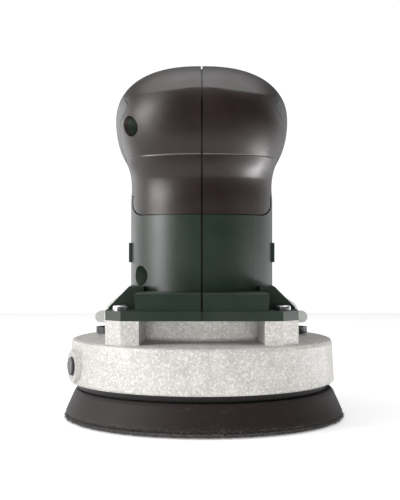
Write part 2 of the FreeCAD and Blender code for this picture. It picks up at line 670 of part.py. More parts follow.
def fan_housing():
    deck_low = DECK_EDGE_TOP - DECK_THICKNESS
    casting = turned(
        [
            (RIM_RADIUS - RIM_WALL + 1.2, RIM_BOTTOM),
            (RIM_RADIUS - 0.6, RIM_BOTTOM),
            (RIM_RADIUS, RIM_BOTTOM + 0.8),
            (RIM_TOP_RADIUS, DECK_EDGE_TOP - 2.2),
            (RIM_TOP_RADIUS - 0.7, DECK_EDGE_TOP - 0.6),
            (RIM_TOP_RADIUS - 2.4, DECK_EDGE_TOP),
            (NECK_RADIUS + 1.0, DECK_CENTRE_TOP),
            (NECK_RADIUS, DECK_CENTRE_TOP + 1.0),
            (NECK_RADIUS, FLANGE_BOTTOM),
            (NECK_RADIUS - NECK_WALL, FLANGE_BOTTOM),
            (NECK_RADIUS - NECK_WALL, deck_low),
            (RIM_TOP_RADIUS - RIM_WALL, deck_low),
            (RIM_RADIUS - RIM_WALL, RIM_BOTTOM + 4),
            (RIM_RADIUS - RIM_WALL + 1.2, RIM_BOTTOM + 4),
        ]
    )
    seat = cylinder(MAIN_BEARING_OUTER + 4, MAIN_BEARING_BOTTOM - 1.6, FLANGE_BOTTOM)
    spokes = []
    reach = NECK_RADIUS - 1
    for turn in (0, 90):
        spoke = block(-reach, reach, -3, 3, MAIN_BEARING_BOTTOM + 1, FLANGE_BOTTOM - 0.5)
        spoke.rotate(V(0, 0, 0), Z_AXIS, turn)
        spokes.append(spoke)
    lock_out = lock_frame(rod(LOCK_BOSS_RADIUS, V(RIM_RADIUS - 3, 0, 0), V(LOCK_BOSS_FACE, 0, 0)))
    lock_in = lock_frame(rod(LOCK_BOSS_RADIUS, V(LOCK_INNER_FACE, 0, 0), V(RIM_RADIUS - 3, 0, 0)))
    collars = []
    cuts = []
    for side in (-1, 1):
        x = side * VENT_X
        collars.append(cylinder(VENT_RADIUS - 1.4, DECK_EDGE_TOP - 1, DECK_EDGE_TOP + 3.4, x, VENT_Y))
        cuts.append(cylinder(VENT_RADIUS - 2.6, deck_low - 1, DECK_EDGE_TOP + 9, x, VENT_Y))
    shape = joined([casting, seat, lock_out, lock_in] + spokes + corner_lugs() + collars)
    cuts.append(cylinder(MAIN_BEARING_OUTER, MAIN_BEARING_BOTTOM, FLANGE_BOTTOM + 1))
    cuts.append(cylinder(MAIN_BEARING_OUTER - 4, MAIN_BEARING_BOTTOM - 3, FLANGE_BOTTOM))
    seat_face = V(LOCK_SEAT, 0, 0)
    button_radius, pin_radius = LOCK_BUTTON_RADIUS + CLEARANCE, LOCK_PIN_RADIUS + CLEARANCE
    cuts.append(lock_frame(rod(button_radius, seat_face, V(LOCK_BOSS_FACE + 5, 0, 0))))
    cuts.append(lock_frame(rod(pin_radius, V(LOCK_INNER_FACE - 2, 0, 0), seat_face)))
    for x, y in screw_corners():
        cuts.append(cylinder(SCREW_SHANK_RADIUS, DECK_EDGE_TOP + 2, FLANGE_BOTTOM + 1, x, y))
    for side in (-1, 1):
        cuts.append(duct_screw_hole(side))
    half = OUTLET_WIDTH / 2
    cuts.append(block(-half, half, 50, RIM_RADIUS + 5, OUTLET_LOW, OUTLET_HIGH))
    return without(shape, cuts)


def dust_seal():
    """The rubber ring under the rim that brakes the idling pad."""
    return turned(
        [
            (RIM_RADIUS - RIM_WALL - 4, RIM_BOTTOM + 1.2),
            (RIM_RADIUS - RIM_WALL - 4, RIM_BOTTOM - 1.0),
            (RIM_RADIUS - RIM_WALL - 2.4, PAD_TOP + CLEARANCE),
            (RIM_RADIUS - RIM_WALL - 0.4, PAD_TOP + CLEARANCE),
            (RIM_RADIUS - RIM_WALL + 0.6, RIM_BOTTOM - 0.8),
            (RIM_RADIUS - RIM_WALL + 1.2, RIM_BOTTOM),
            (RIM_RADIUS - RIM_WALL + 1.2, RIM_BOTTOM + 1.2),
        ]
    )


def vent_grommets():
    """Black plastic inserts round the cooling air outlets."""
    pieces = []
    for side in (-1, 1):
        x = side * VENT_X
        ring = tube(VENT_RADIUS, VENT_RADIUS - 1.4, DECK_EDGE_TOP + 1.4, DECK_EDGE_TOP + 5.0, x, VENT_Y)
        grille = tube(VENT_RADIUS - 2.6, 1.4, DECK_EDGE_TOP - 1, DECK_EDGE_TOP + 2.6, x, VENT_Y)
        bars = [block(x - 6, x + 6, VENT_Y + k - 0.9, VENT_Y + k + 0.9, 0, 60) for k in (-2.4, 2.4)]
        pieces.append(ring)
        pieces.append(without(grille, [bar.common(cylinder(4.2, 0, 60, x, VENT_Y)) for bar in bars]))
    return Part.makeCompound(pieces)


def pan_screw(x, y, seat, length):
    """A pan head screw with a cross recess, standing in z."""
    head = cylinder(4.0, seat, seat + 2.6, x, y)
    head = head.makeFillet(1.2, [e for e in head.Edges if abs(e.BoundBox.ZMin - seat - 2.6) < 0.01])
    shank = cylinder(SCREW_SHANK_RADIUS, seat - length, seat, x, y)
    recess = [block(x - 2.2, x + 2.2, y - 0.5, y + 0.5, seat + 1.2, seat + 4)]
    recess.append(block(x - 0.5, x + 0.5, y - 2.2, y + 2.2, seat + 1.2, seat + 4))
    return joined([head, shank]).cut(Part.makeCompound(recess))


def flange_screws():
    reach = FLANGE_THICKNESS + FLANGE_BOTTOM - DECK_EDGE_TOP - 2.5
    return Part.makeCompound([pan_screw(x, y, FLANGE_TOP, reach) for x, y in screw_corners()])


def lock_button():
    cap = rod(LOCK_BUTTON_RADIUS, V(LOCK_CAP_BACK, 0, 0), V(LOCK_BOSS_FACE + 1.4, 0, 0))
    cap = cap.makeFillet(0.8, [e for e in cap.Edges if e.BoundBox.XMin > LOCK_BOSS_FACE + 1.3])
    pin = rod(LOCK_PIN_RADIUS, V(FAN_RADIUS + 2.2, 0, 0), V(LOCK_CAP_BACK, 0, 0))
    groove_low, groove_high = LOCK_INNER_FACE - 1.1, LOCK_INNER_FACE - 0.5
    groove = rod(4, V(groove_low, 0, 0), V(groove_high, 0, 0))
    groove = groove.cut(rod(LOCK_PIN_RADIUS - 0.6, V(50, 0, 0), V(70, 0, 0)))
    return lock_frame(joined([cap, pin]).cut(groove))


def lock_clip():
    low, high = LOCK_INNER_FACE - 1.1, LOCK_INNER_FACE - 0.5
    ring = rod(3.6, V(low, 0, 0), V(high, 0, 0)).cut(rod(LOCK_PIN_RADIUS - 0.6, V(50, 0, 0), V(70, 0, 0)))
    return lock_frame(ring.cut(block(50, 70, -1, 1, -6, 0)))


def lock_spring():
    """A stack of three spring rings, tied to each other on alternate sides."""
    wire, radius = 0.4, 3.8
    first, last = LOCK_SEAT + wire + 0.1, LOCK_CAP_BACK - wire - 0.1
    step = (last - first) / 2
    pieces = [Part.makeTorus(radius, wire, V(first + i * step, 0, 0), X_AXIS) for i in range(3)]
    for i, side in ((0, 1), (1, -1)):
        start = first + i * step
        pieces.append(block(start, start + step, side * radius - 0.3, side * radius + 0.3, -0.25, 0.25))
    return lock_frame(joined(pieces))


# ---------------------------------------------------------------- plastic shells
# Side view outline of the part of the head and handle that is bare shell, in (y, z).
BARE_OUTLINE = [
    (-31.5, 165.2),
    (-17.0, 171.4),
    (20.0, 179.0),
    (58.0, 178.0),
    (64.0, 210.0),
    (190.0, 210.0),
    (190.0, 110.0),
    (132.0, 110.0),
    (126.0, 147.0),
    (66.0, 151.0),
    (34.0, 146.0),
    (4.0, 138.5),
    (-15.0, 138.5),
    (-21.5, 149.0),
    (-25.5, 157.0),
    (-31.5, 161.6),
]
GRIP_LOW = 118.2
TONGUE_LOW = 107.7
TONGUE_HALF_WIDTH = 37.4
TONGUE_CORNER = 6.0


def bare_prism(grow):
    face = Part.Face(rounded_outline(BARE_OUTLINE, 3.0))
    if grow:
        face = face.makeOffset2D(grow)
    face.translate(V(-FAR / 2, 0, 0))
    return face.extrude(V(FAR, 0, 0))


def tongue_prism(shrink):
    """The front tongue of the soft grip that dips into the motor shell, seen from the front."""
    w, low, r = TONGUE_HALF_WIDTH - shrink, TONGUE_LOW + shrink, TONGUE_CORNER
    slab = block(-w, w, -FAR, 0, low, GRIP_LOW + 2)
    edges = [e for e in slab.Edges if e.BoundBox.YLength > 1 and abs(e.BoundBox.ZMin - low) < 0.01]
    return slab.makeFillet(r, edges)


def grip_zone(shrink):
    """All of the space that belongs to the soft grip."""
    above = block(-FAR, FAR, -FAR, FAR, GRIP_LOW + shrink, FAR)
    return above.fuse(tongue_prism(shrink)).cut(bare_prism(shrink))


def level_rectangle(half_width, half_depth, z):
    corners = [V(x * half_width, y * half_depth, z) for x, y in ((-1, -1), (1, -1), (1, 1), (-1, 1))]
    return Part.makePolygon(corners + corners[:1])


def lower_shell():
    """The flange, the front and rear blocks and the side flares at the motor's foot."""
    plate = plan_prism(flange_outline(), FLANGE_BOTTOM, FLANGE_TOP)
    w, d = BLOCK_HALF_WIDTH, BLOCK_HALF_DEPTH
    rims = [level_rectangle(w - 1.4, d, FLANGE_BOTTOM), level_rectangle(w, d - 1, BLOCK_TOP)]
    foot = Part.makeLoft(rims, True, True)
    top_edges = [e for e in foot.Edges if e.BoundBox.ZMin > BLOCK_TOP - 0.01]
    foot = foot.makeFillet(1.5, top_edges)
    flares = []
    for side in (-1, 1):
        s = side
        wedge = Part.Face(
            Part.makePolygon(
                [
                    V(s * 30, -34, FLANGE_TOP - 1),
                    V(s * (FLANGE_HALF_WIDTH - 0.6), -34, FLANGE_TOP - 1),
                    V(s * (FLANGE_HALF_WIDTH - 0.6), -34, FLANGE_TOP + 1),
                    V(s * (MOTOR_RADIUS - 1.0), -34, BLOCK_TOP + 2.5),
                    V(s * 30, -34, BLOCK_TOP + 2.5),
                    V(s * 30, -34, FLANGE_TOP - 1),
                ]
            )
        ).extrude(V(0, 68, 0))
        flares.append(wedge)
    return joined([plate, foot] + flares)


LEDGE_LOW = 85.0
TOP_WEB_LOW, TOP_WEB_HIGH = TOP_BEARING_BOTTOM - 1.5, TOP_BEARING_BOTTOM + TOP_BEARING_HEIGHT + 1.5
SLEEVE_RADIUS = TOP_BEARING_OUTER + BEARING_SLEEVE_WALL
INNER_RADIUS = MOTOR_RADIUS - BODY_WALL


def shell_inner_works():
    """Ribs, webs and seats moulded inside the shells."""
    inside = body_form(1.0)
    works = [tube(INNER_RADIUS + 1.2, CORE_RADIUS - 2, LEDGE_LOW, CORE_BOTTOM)]
    works.append(tube(INNER_RADIUS + 1.2, CORE_RADIUS - 2, BAFFLE_BOTTOM + 2, BAFFLE_BOTTOM + 4))
    rib = block(CORE_RADIUS, INNER_RADIUS + 1.2, -3, 3, CORE_BOTTOM - 1, CORE_TOP + 2)
    rib.rotate(V(0, 0, 0), Z_AXIS, 45)
    works += polar(rib, 4)
    web = block(-60, 60, -60, 40, TOP_WEB_LOW, TOP_WEB_HIGH).common(inside)
    works.append(web)
    bed = block(-11.5, 11.5, SLIDE_Y - 24, SLIDE_Y + 18, SLIDE_BED - 3, SLIDE_BED).common(inside)
    works.append(bed)
    sleeve = rod(INLET_RADIUS + INLET_WALL, V(0, INLET_START, INLET_Z), V(0, HANDLE_END - 2, INLET_Z))
    works.append(sleeve.common(inside))
    shelf = block(4.6, 13.0, WHEEL_Y - 6, WHEEL_Y + 6, INLET_Z - 30, MODULE_LOW)
    works.append(shelf.common(inside))
    for side in (-1, 1):
        works.append(cylinder(3.4, CLAMP_TOP, INLET_Z + 30, side * CLAMP_X, CLAMP_Y).common(inside))
    for y, z, seat in SHELL_SCREWS:
        boss = rod(SCREW_POCKET_RADIUS + 1.6, V(-60, y, z), V(60, y, z))
        works.append(boss.common(inside))
    return works


def side_frames():
    """The raised louvre frames on both sides of the motor."""
    frames = []
    for side in (-1, 1):
        low, high = sorted((side * (MOTOR_RADIUS - 2.5), side * (MOTOR_RADIUS + 0.7)))
        frames.append(block(low, high, -9, 9, 83.0, 93.5))
    return frames


def louvres():
    """The air slots through the side frames and through the head's side panels."""
    slots = []
    for i in range(3):
        z = 85.2 + 2.9 * i
        slots.append(block(-FAR, FAR, -7, 7, z, z + 1.5))
    for i in range(5):
        slot = block(-FAR, FAR, -9, 9, -1.1, 1.1)
        slot.rotate(V(0, 0, 0), X_AXIS, 62)
        slot.translate(V(0, 2.0 + 8.5 * i, 161.0))
        slots.append(slot.cut(block(-34, 34, -60, 90, 130, 200)))
    return slots


def shell_cuts():
    """Everything opened up in the moulded shells after their walls are made."""
    cuts = [cylinder(SLEEVE_RADIUS, TOP_BEARING_BOTTOM, TOP_BEARING_BOTTOM + TOP_BEARING_HEIGHT)]
    cuts.append(cylinder(COMMUTATOR_RADIUS + 2, TOP_WEB_LOW - 1, TOP_BEARING_BOTTOM + 1))
    cuts.append(cylinder(TOP_BEARING_BORE + 3, TOP_WEB_LOW, TOP_WEB_HIGH + 1))
    for turn in (45, 135, 225, 315):
        vent = cylinder(6.0, TOP_WEB_LOW - 1, TOP_WEB_HIGH + 1, 23)
        vent.rotate(V(0, 0, 0), Z_AXIS, turn)
        cuts.append(vent)
    for y, z, seat in SHELL_SCREWS:
        cuts.append(rod(SCREW_POCKET_RADIUS, V(-FAR, y, z), V(-seat, y, z)))
        cuts.append(rod(SCREW_SHANK_RADIUS, V(-seat, y, z), V(seat - 2, y, z)))
    half = SLIDE_WIDTH / 2 + CLEARANCE
    front = SLIDE_Y - SLIDE_LENGTH / 2 - SLIDE_TRAVEL - CLEARANCE
    back = SLIDE_Y + SLIDE_LENGTH / 2 + CLEARANCE
    cuts.append(block(-half, half, front, back, SLIDE_BED, 200))
    half = STEM_WIDTH / 2 + CLEARANCE
    front = SLIDE_Y - STEM_LENGTH / 2 - SLIDE_TRAVEL - CLEARANCE
    back = SLIDE_Y + STEM_LENGTH / 2 + CLEARANCE
    cuts.append(block(-half, half, front, back, SLIDE_BED - 4, 200))
    half = WHEEL_WIDTH / 2 + 0.5
    cuts.append(rod(WHEEL_RADIUS + 0.8, V(-half, WHEEL_Y, WHEEL_Z), V(half, WHEEL_Y, WHEEL_Z)))
    for x in (-CLAMP_X, CLAMP_X):
        cuts.append(cylinder(1.3, CLAMP_TOP - 1, CLAMP_TOP + 8, x, CLAMP_Y))
    cuts.append(rod(INLET_RADIUS, V(0, INLET_START - 1, INLET_Z), V(0, HANDLE_END + 5, INLET_Z)))
    for x, y in screw_corners():
        cuts.append(cylinder(SCREW_SHANK_RADIUS, FLANGE_BOTTOM - 1, FLANGE_TOP + 1, x, y))
        cuts.append(cylinder(5.4, FLANGE_TOP, BLOCK_TOP + 10, x, y))
    return cuts


def seam_groove():
    """The thin parting groove down the middle of everything outside the core."""
    slab = block(-SEAM_HALF_WIDTH, SEAM_HALF_WIDTH, -FAR, FAR, FLANGE_TOP, FAR)
    return slab.cut(body_form(SEAM_DEPTH)).cut(block(-5, 5, -37.5, 37.5, 0, 80))


def outer_layer():
    return body_form(0).cut(body_form(GRIP_THICKNESS))


def motor_shells(layer, seam):
    """The left and right plastic halves."""
    outer = joined([body_form(0), lower_shell()] + side_frames())
    shell = outer.cut(body_form(BODY_WALL)).fuse(shell_inner_works())
    shell = without(shell, [layer.common(grip_zone(0)), seam] + louvres() + shell_cuts())
    left = shell.common(block(-FAR, 0, -FAR, FAR, 0, FAR))
    right = shell.common(block(0, FAR, -FAR, FAR, 0, FAR))
    return left, right


def grips(layer, seam):
    """The left and right soft over-moulded grips."""
    pockets = [rod(SCREW_POCKET_RADIUS, V(-FAR, y, z), V(-5, y, z)) for y, z, seat in SHELL_SCREWS]
    soft = without(layer.common(grip_zone(GROOVE)), [seam] + pockets)
    left = soft.common(block(-FAR, -0.05, -FAR, FAR, 0, FAR))
    right = soft.common(block(0.05, FAR, -FAR, FAR, 0, FAR))
    return left, right


def shell_screws():
    """The cross recessed screws that hold the halves together, heads to the left."""
    screws = []
    for y, z, seat in SHELL_SCREWS:
        head = rod(SCREW_HEAD_RADIUS, V(-seat - 2.4, y, z), V(-seat, y, z))
        shank = rod(SCREW_SHANK_RADIUS, V(-seat, y, z), V(seat - 2, y, z))
        recess = [block(-seat - 4, -seat - 1.2, y - 0.45, y + 0.45, z - 2, z + 2)]
        recess.append(block(-seat - 4, -seat - 1.2, y - 2, y + 2, z - 0.45, z + 0.45))
        screws.append(joined([head, shank]).cut(Part.makeCompound(recess)))
    return Part.makeCompound(screws)


def air_baffle():
    """The ring that guides the motor's air down into the fan."""
    plate = tube(INNER_RADIUS - 0.2, 24.0, BAFFLE_BOTTOM, BAFFLE_BOTTOM + 2)
    return plate.fuse(tube(26.0, 24.0, BAFFLE_BOTTOM, BAFFLE_BOTTOM + 7))


def bearing_retainer():
    """The ring that holds the main bearing down in the casting, with its three screw heads."""
    ring = tube(19.6, 12.5, FLANGE_BOTTOM, FLANGE_BOTTOM + 1.6)
    heads = polar(cylinder(1.4, FLANGE_BOTTOM + 1.6, FLANGE_BOTTOM + 2.8, 17.6), 3)
    return joined([ring] + heads)


def bearing_sleeve():
    low, high = TOP_BEARING_BOTTOM, TOP_BEARING_BOTTOM + TOP_BEARING_HEIGHT
    return tube(SLEEVE_RADIUS, TOP_BEARING_OUTER, low, high)


# ---------------------------------------------------------------- controls
def slide_button():
    half = SLIDE_WIDTH / 2
    low = SLIDE_BED + CLEARANCE
    front, back = SLIDE_Y - SLIDE_LENGTH / 2, SLIDE_Y + SLIDE_LENGTH / 2
    plate = block(-half, half, front, back, low, low + 6.2)
    upright = [e for e in plate.Edges if e.BoundBox.ZLength > 1]
    plate = plate.makeFillet(2.0, upright)
    hollow = Part.makeCylinder(60, SLIDE_WIDTH, V(-half, SLIDE_Y, low + 64.0), X_AXIS)
    plate = plate.cut(hollow)
    ridges = []
    for i in range(-3, 4):
        y = SLIDE_Y + 2.6 * i
        ridges.append(block(-half + 1.5, half - 1.5, y - 0.5, y + 0.5, low + 2, low + 4.9))
    stem_x, stem_y = STEM_WIDTH / 2, STEM_LENGTH / 2
    stem = block(-stem_x, stem_x, SLIDE_Y - stem_y, SLIDE_Y + stem_y, low - 6, low + 1)
    return joined([plate, stem] + ridges)


def switch_body():
    body = block(-9, 9, SLIDE_Y - 13, SLIDE_Y + 12, SLIDE_BED - 17, SLIDE_BED - 3)
    half = STEM_WIDTH / 2 + CLEARANCE
    front = SLIDE_Y - STEM_LENGTH / 2 - SLIDE_TRAVEL - CLEARANCE
    back = SLIDE_Y + STEM_LENGTH / 2 + CLEARANCE
    notch = block(-half, half, front, back, SLIDE_BED - 6.3, SLIDE_BED)
    tabs = []
    for x in (-5, 5):
        for y in (SLIDE_Y - 8, SLIDE_Y + 6):
            tabs.append(block(x - 0.4, x + 0.4, y - 3, y + 3, SLIDE_BED - 20, SLIDE_BED - 17))
    return joined([body.cut(notch)] + tabs)


def speed_wheel():
    """The thumb wheel, with its grip teeth and the axle that turns the control."""
    half = WHEEL_WIDTH / 2
    wheel = rod(WHEEL_RADIUS, V(-half, WHEEL_Y, WHEEL_Z), V(half, WHEEL_Y, WHEEL_Z))
    axle = rod(WHEEL_AXLE_RADIUS, V(half - 1, WHEEL_Y, WHEEL_Z), V(half + 6, WHEEL_Y, WHEEL_Z))
    rim_y = WHEEL_Y + WHEEL_RADIUS + 0.2
    tooth = rod(0.6, V(-half - 1, rim_y, WHEEL_Z), V(half + 1, rim_y, WHEEL_Z))
    teeth = []
    for i in range(30):
        copy = tooth.copy()
        copy.rotate(V(0, WHEEL_Y, WHEEL_Z), X_AXIS, 12 * i)
        teeth.append(copy)
    return joined([wheel, axle]).cut(Part.makeCompound(teeth))


def speed_module():
    body = block(4.6, 13.0, WHEEL_Y - 9, WHEEL_Y + 8, MODULE_LOW, WHEEL_Z + 2)
    hole = rod(WHEEL_AXLE_RADIUS + CLEARANCE, V(0, WHEEL_Y, WHEEL_Z), V(12, WHEEL_Y, WHEEL_Z))
    return body.cut(hole)


def cord_clamp():
    """The bar and its two screws that grip the supply lead inside the handle."""
    low = CLAMP_TOP - 3
    pieces = [block(-CLAMP_X - 3, CLAMP_X + 3, CLAMP_Y - 2.5, CLAMP_Y + 2.5, low, CLAMP_TOP)]
    for x in (-CLAMP_X, CLAMP_X):
        pieces.append(cylinder(2.6, low - 1.8, low, x, CLAMP_Y))
        pieces.append(cylinder(1.3, low, CLAMP_TOP + 8, x, CLAMP_Y))
    return joined(pieces)


# ---------------------------------------------------------------- dust outlet and bag
def duct_screw_hole(side):
    return rod(1.6, V(side * DUCT_SCREW_X, 59.0, DUCT_SCREW_Z), V(side * DUCT_SCREW_X, 90, DUCT_SCREW_Z))


def dust_duct():
    """The box behind the rim that turns the dust stream into a round spigot."""
    w = DUCT_HALF_WIDTH
    box = block(-w, w, 60.0, DUCT_END, DUCT_LOW, DUCT_HIGH)
    top = [e for e in box.Edges if e.BoundBox.ZMin > DUCT_HIGH - 0.1 or (e.BoundBox.YMin > DUCT_END - 0.1)]
    box = box.makeFillet(5.0, top)
    tab = DUCT_TAB_HALF_WIDTH
    tabs = block(-tab, tab, 60.0, DUCT_TAB_BACK, DUCT_SCREW_Z - 6, DUCT_SCREW_Z + 6)
    spigot = rod(SPIGOT_RADIUS, V(0, DUCT_END - 1, SPIGOT_Z), V(0, SPIGOT_END, SPIGOT_Z))
    t = DUCT_WALL
    hollow = block(-w + t, w - t, 55.0, DUCT_END - t, DUCT_LOW + t, DUCT_HIGH - t)
    bore = rod(SPIGOT_BORE, V(0, 70.0, SPIGOT_Z), V(0, SPIGOT_END + 1, SPIGOT_Z))
    rim = cylinder(RIM_RADIUS, 0, 80)
    cuts = [hollow, bore, rim] + [duct_screw_hole(side) for side in (-1, 1)]
    return without(joined([box, tabs, spigot]), cuts)


def duct_screws():
    screws = []
    for side in (-1, 1):
        x = side * DUCT_SCREW_X
        head = rod(3.2, V(x, DUCT_TAB_BACK, DUCT_SCREW_Z), V(x, DUCT_TAB_BACK + 2.4, DUCT_SCREW_Z))
        shank = rod(1.6, V(x, 60.4, DUCT_SCREW_Z), V(x, DUCT_TAB_BACK, DUCT_SCREW_Z))
        z = DUCT_SCREW_Z
        back = DUCT_TAB_BACK
        recess = [block(x - 1.9, x + 1.9, back + 1.2, back + 4, z - 0.4, z + 0.4)]
        recess.append(block(x - 0.4, x + 0.4, back + 1.2, back + 4, z - 1.9, z + 1.9))
        screws.append(joined([head, shank]).cut(Part.makeCompound(recess)))
    return Part.makeCompound(screws)


def bag_collar():
    outer = SPIGOT_RADIUS + COLLAR_WALL
    tube_part = rod(outer, V(0, DUCT_END + 0.5, SPIGOT_Z), V(0, COLLAR_END, SPIGOT_Z))
    flange = rod(COLLAR_FLANGE_RADIUS, V(0, COLLAR_END - 3, SPIGOT_Z), V(0, COLLAR_END, SPIGOT_Z))
    grip_ring = rod(outer + 1.4, V(0, DUCT_END + 0.5, SPIGOT_Z), V(0, DUCT_END + 4, SPIGOT_Z))
    bore = rod(SPIGOT_RADIUS, V(0, DUCT_END, SPIGOT_Z), V(0, SPIGOT_END, SPIGOT_Z))
    through = rod(SPIGOT_BORE, V(0, DUCT_END, SPIGOT_Z), V(0, COLLAR_END + 1, SPIGOT_Z))
    return without(joined([tube_part, flange, grip_ring]), [bore, through])


def dust_bag():
    rows = []
    for y, width, height, middle in BAG_STATIONS:
        rows.append(section((y, 0), (0, 1), middle - height, middle + height, width, BAG_ROUNDNESS, 0.0))
    return skinned_solid(rows)


def bag_clip():
    """The slotted bar that closes the bag's rear end."""
    half = CLIP_HEIGHT / 2
    bar = block(-CLIP_HALF_LENGTH, CLIP_HALF_LENGTH, CLIP_START, CLIP_END, CLIP_Z - half, CLIP_Z + half)
    ends = [e for e in bar.Edges if e.BoundBox.YLength > 1]
    bar = bar.makeFillet(half - 0.3, ends)
    slot = block(-66.4, 66.4, CLIP_START - 1, CLIP_START + 2.4, CLIP_Z - half + 0.8, CLIP_Z + half - 0.8)
    bag = dust_bag()
    return bar.cut(slot).cut(bag)


def all_parts():
    """Every sub-part by its node name."""
    layer, seam = outer_layer(), seam_groove()
    shell_left, shell_right = motor_shells(layer, seam)
    grip_left, grip_right = grips(layer, seam)
    pad_inner, pad_outer, pad_balls = bearing(
        PAD_BEARING_BORE, PAD_BEARING_OUTER, PAD_BEARING_BOTTOM, PAD_BEARING_TOP, 2, ORBIT_X, ORBIT_Y
    )
    main_inner, main_outer, main_balls = bearing(
        BEARING_SEAT_SHAFT_RADIUS, MAIN_BEARING_OUTER, MAIN_BEARING_BOTTOM, MAIN_BEARING_TOP, 1
    )
    top_low, top_high = TOP_BEARING_BOTTOM, TOP_BEARING_BOTTOM + TOP_BEARING_HEIGHT
    top_inner, top_outer, top_balls = bearing(TOP_BEARING_BORE, TOP_BEARING_OUTER, top_low, top_high, 1)
    return {
        "sanding_pad": sanding_pad(),
        "hook_face": hook_face(),
        "pad_carrier": pad_carrier(),
        "pad_spindle": pad_spindle(),
        "pad_screw": pad_screw(),
        "pad_washer": pad_washer(),
        "pad_bearing_inner": pad_inner,
        "pad_bearing_outer": pad_outer,
        "pad_bearing_balls": pad_balls,
        "eccentric_hub": eccentric_hub(),
        "bearing_circlip": bearing_circlip(),
        "counterweight": counterweight(),
        "dust_fan": dust_fan(),
        "armature_shaft": armature_shaft(),
        "armature_core": lamination_stack(),
        "armature_winding": armature_winding(),
        "commutator": commutator(),
        "main_bearing_inner": main_inner,
        "main_bearing_outer": main_outer,
        "main_bearing_balls": main_balls,
        "top_bearing_inner": top_inner,
        "top_bearing_outer": top_outer,
        "top_bearing_balls": top_balls,
        "bearing_sleeve": bearing_sleeve(),
        "bearing_retainer": bearing_retainer(),
        "field_core": field_core(),
        "field_coils": field_coils(),
        "brush_holders": brush_holders(),
        "carbon_brushes": carbon_brushes(),
        "brush_springs": brush_springs(),
        "fan_housing": fan_housing(),
        "dust_seal": dust_seal(),
        "vent_grommets": vent_grommets(),
        "flange_screws": flange_screws(),
        "lock_button": lock_button(),
        "lock_clip": lock_clip(),
        "lock_spring": lock_spring(),
        "housing_left": shell_left,
        "housing_right": shell_right,
        "grip_left": grip_left,
        "grip_right": grip_right,
        "shell_screws": shell_screws(),
        "air_baffle": air_baffle(),
        "switch_body": switch_body(),
        "slide_button": slide_button(),
        "speed_wheel": speed_wheel(),
        "speed_module": speed_module(),
        "cord_clamp": cord_clamp(),
        "dust_duct": dust_duct(),
        "duct_screws": duct_screws(),
        "bag_collar": bag_collar(),
        "dust_bag": dust_bag(),
        "bag_clip": bag_clip(),
    }


def main():
    os.makedirs("parts", exist_ok=True)
    for name, shape in all_parts().items():
        shape.exportStep(os.path.join("parts", name + ".step"))


if __name__ == "__main__":
    main()
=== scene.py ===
"""Looks for the random orbital sander: materials, softer pieces, camera and studio."""

import json
import math
import random

import bmesh
import bpy
import numpy as np
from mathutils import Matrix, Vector, noise


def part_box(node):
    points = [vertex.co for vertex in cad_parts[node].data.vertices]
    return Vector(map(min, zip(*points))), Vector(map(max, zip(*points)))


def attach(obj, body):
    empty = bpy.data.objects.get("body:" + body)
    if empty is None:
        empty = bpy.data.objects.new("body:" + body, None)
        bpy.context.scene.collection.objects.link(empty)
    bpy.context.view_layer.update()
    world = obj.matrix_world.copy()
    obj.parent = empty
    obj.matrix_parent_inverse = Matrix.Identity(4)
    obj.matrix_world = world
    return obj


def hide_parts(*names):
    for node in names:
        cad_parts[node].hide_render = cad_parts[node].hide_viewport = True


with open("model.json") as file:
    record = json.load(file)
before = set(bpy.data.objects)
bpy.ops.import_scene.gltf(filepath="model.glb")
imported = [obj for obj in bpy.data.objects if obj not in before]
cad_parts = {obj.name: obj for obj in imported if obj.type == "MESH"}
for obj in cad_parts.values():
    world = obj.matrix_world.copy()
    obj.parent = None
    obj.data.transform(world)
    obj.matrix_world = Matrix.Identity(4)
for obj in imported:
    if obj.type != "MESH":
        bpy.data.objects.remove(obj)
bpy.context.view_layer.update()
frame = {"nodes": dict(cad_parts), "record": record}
nodes = frame["nodes"]
random.seed(7)
MM = 0.001
# heights in millimetres: the crease under the lip, the brow's ridge and where the brow starts
CREASE_Z, RIDGE_Z, BROW_Z = 138.2, 171.5, 160.0


# ---------------------------------------------------------------- shader building
def wrap(tree, value):
    return value if isinstance(value, Sock) else Sock(tree, None, value)


class Sock:
    """A shader output or a plain number, with arithmetic that adds nodes where needed."""

    def __init__(self, tree, socket, value=None):
        self.tree, self.socket, self.value = tree, socket, value

    def feed(self, target):
        if self.socket is not None:
            self.tree.links.new(self.socket, target)
        else:
            target.default_value = self.value

    def math(self, operation, *others):
        node = self.tree.nodes.new("ShaderNodeMath")
        node.operation = operation
        self.feed(node.inputs[0])
        for i, other in enumerate(others):
            wrap(self.tree, other).feed(node.inputs[i + 1])
        return Sock(self.tree, node.outputs[0])

    def __add__(self, other):
        return self.math("ADD", other)

    def __sub__(self, other):
        return self.math("SUBTRACT", other)

    def __mul__(self, other):
        return self.math("MULTIPLY", other)

    def __radd__(self, other):
        return wrap(self.tree, other).math("ADD", self)

    def __rsub__(self, other):
        return wrap(self.tree, other).math("SUBTRACT", self)

    def __rmul__(self, other):
        return wrap(self.tree, other).math("MULTIPLY", self)

    def step(self, low, high):
        """0 below low, 1 above high, smooth between."""
        node = self.tree.nodes.new("ShaderNodeMapRange")
        node.interpolation_type = "SMOOTHSTEP"
        self.feed(node.inputs["Value"])
        node.inputs["From Min"].default_value = low
        node.inputs["From Max"].default_value = high
        return Sock(self.tree, node.outputs["Result"])


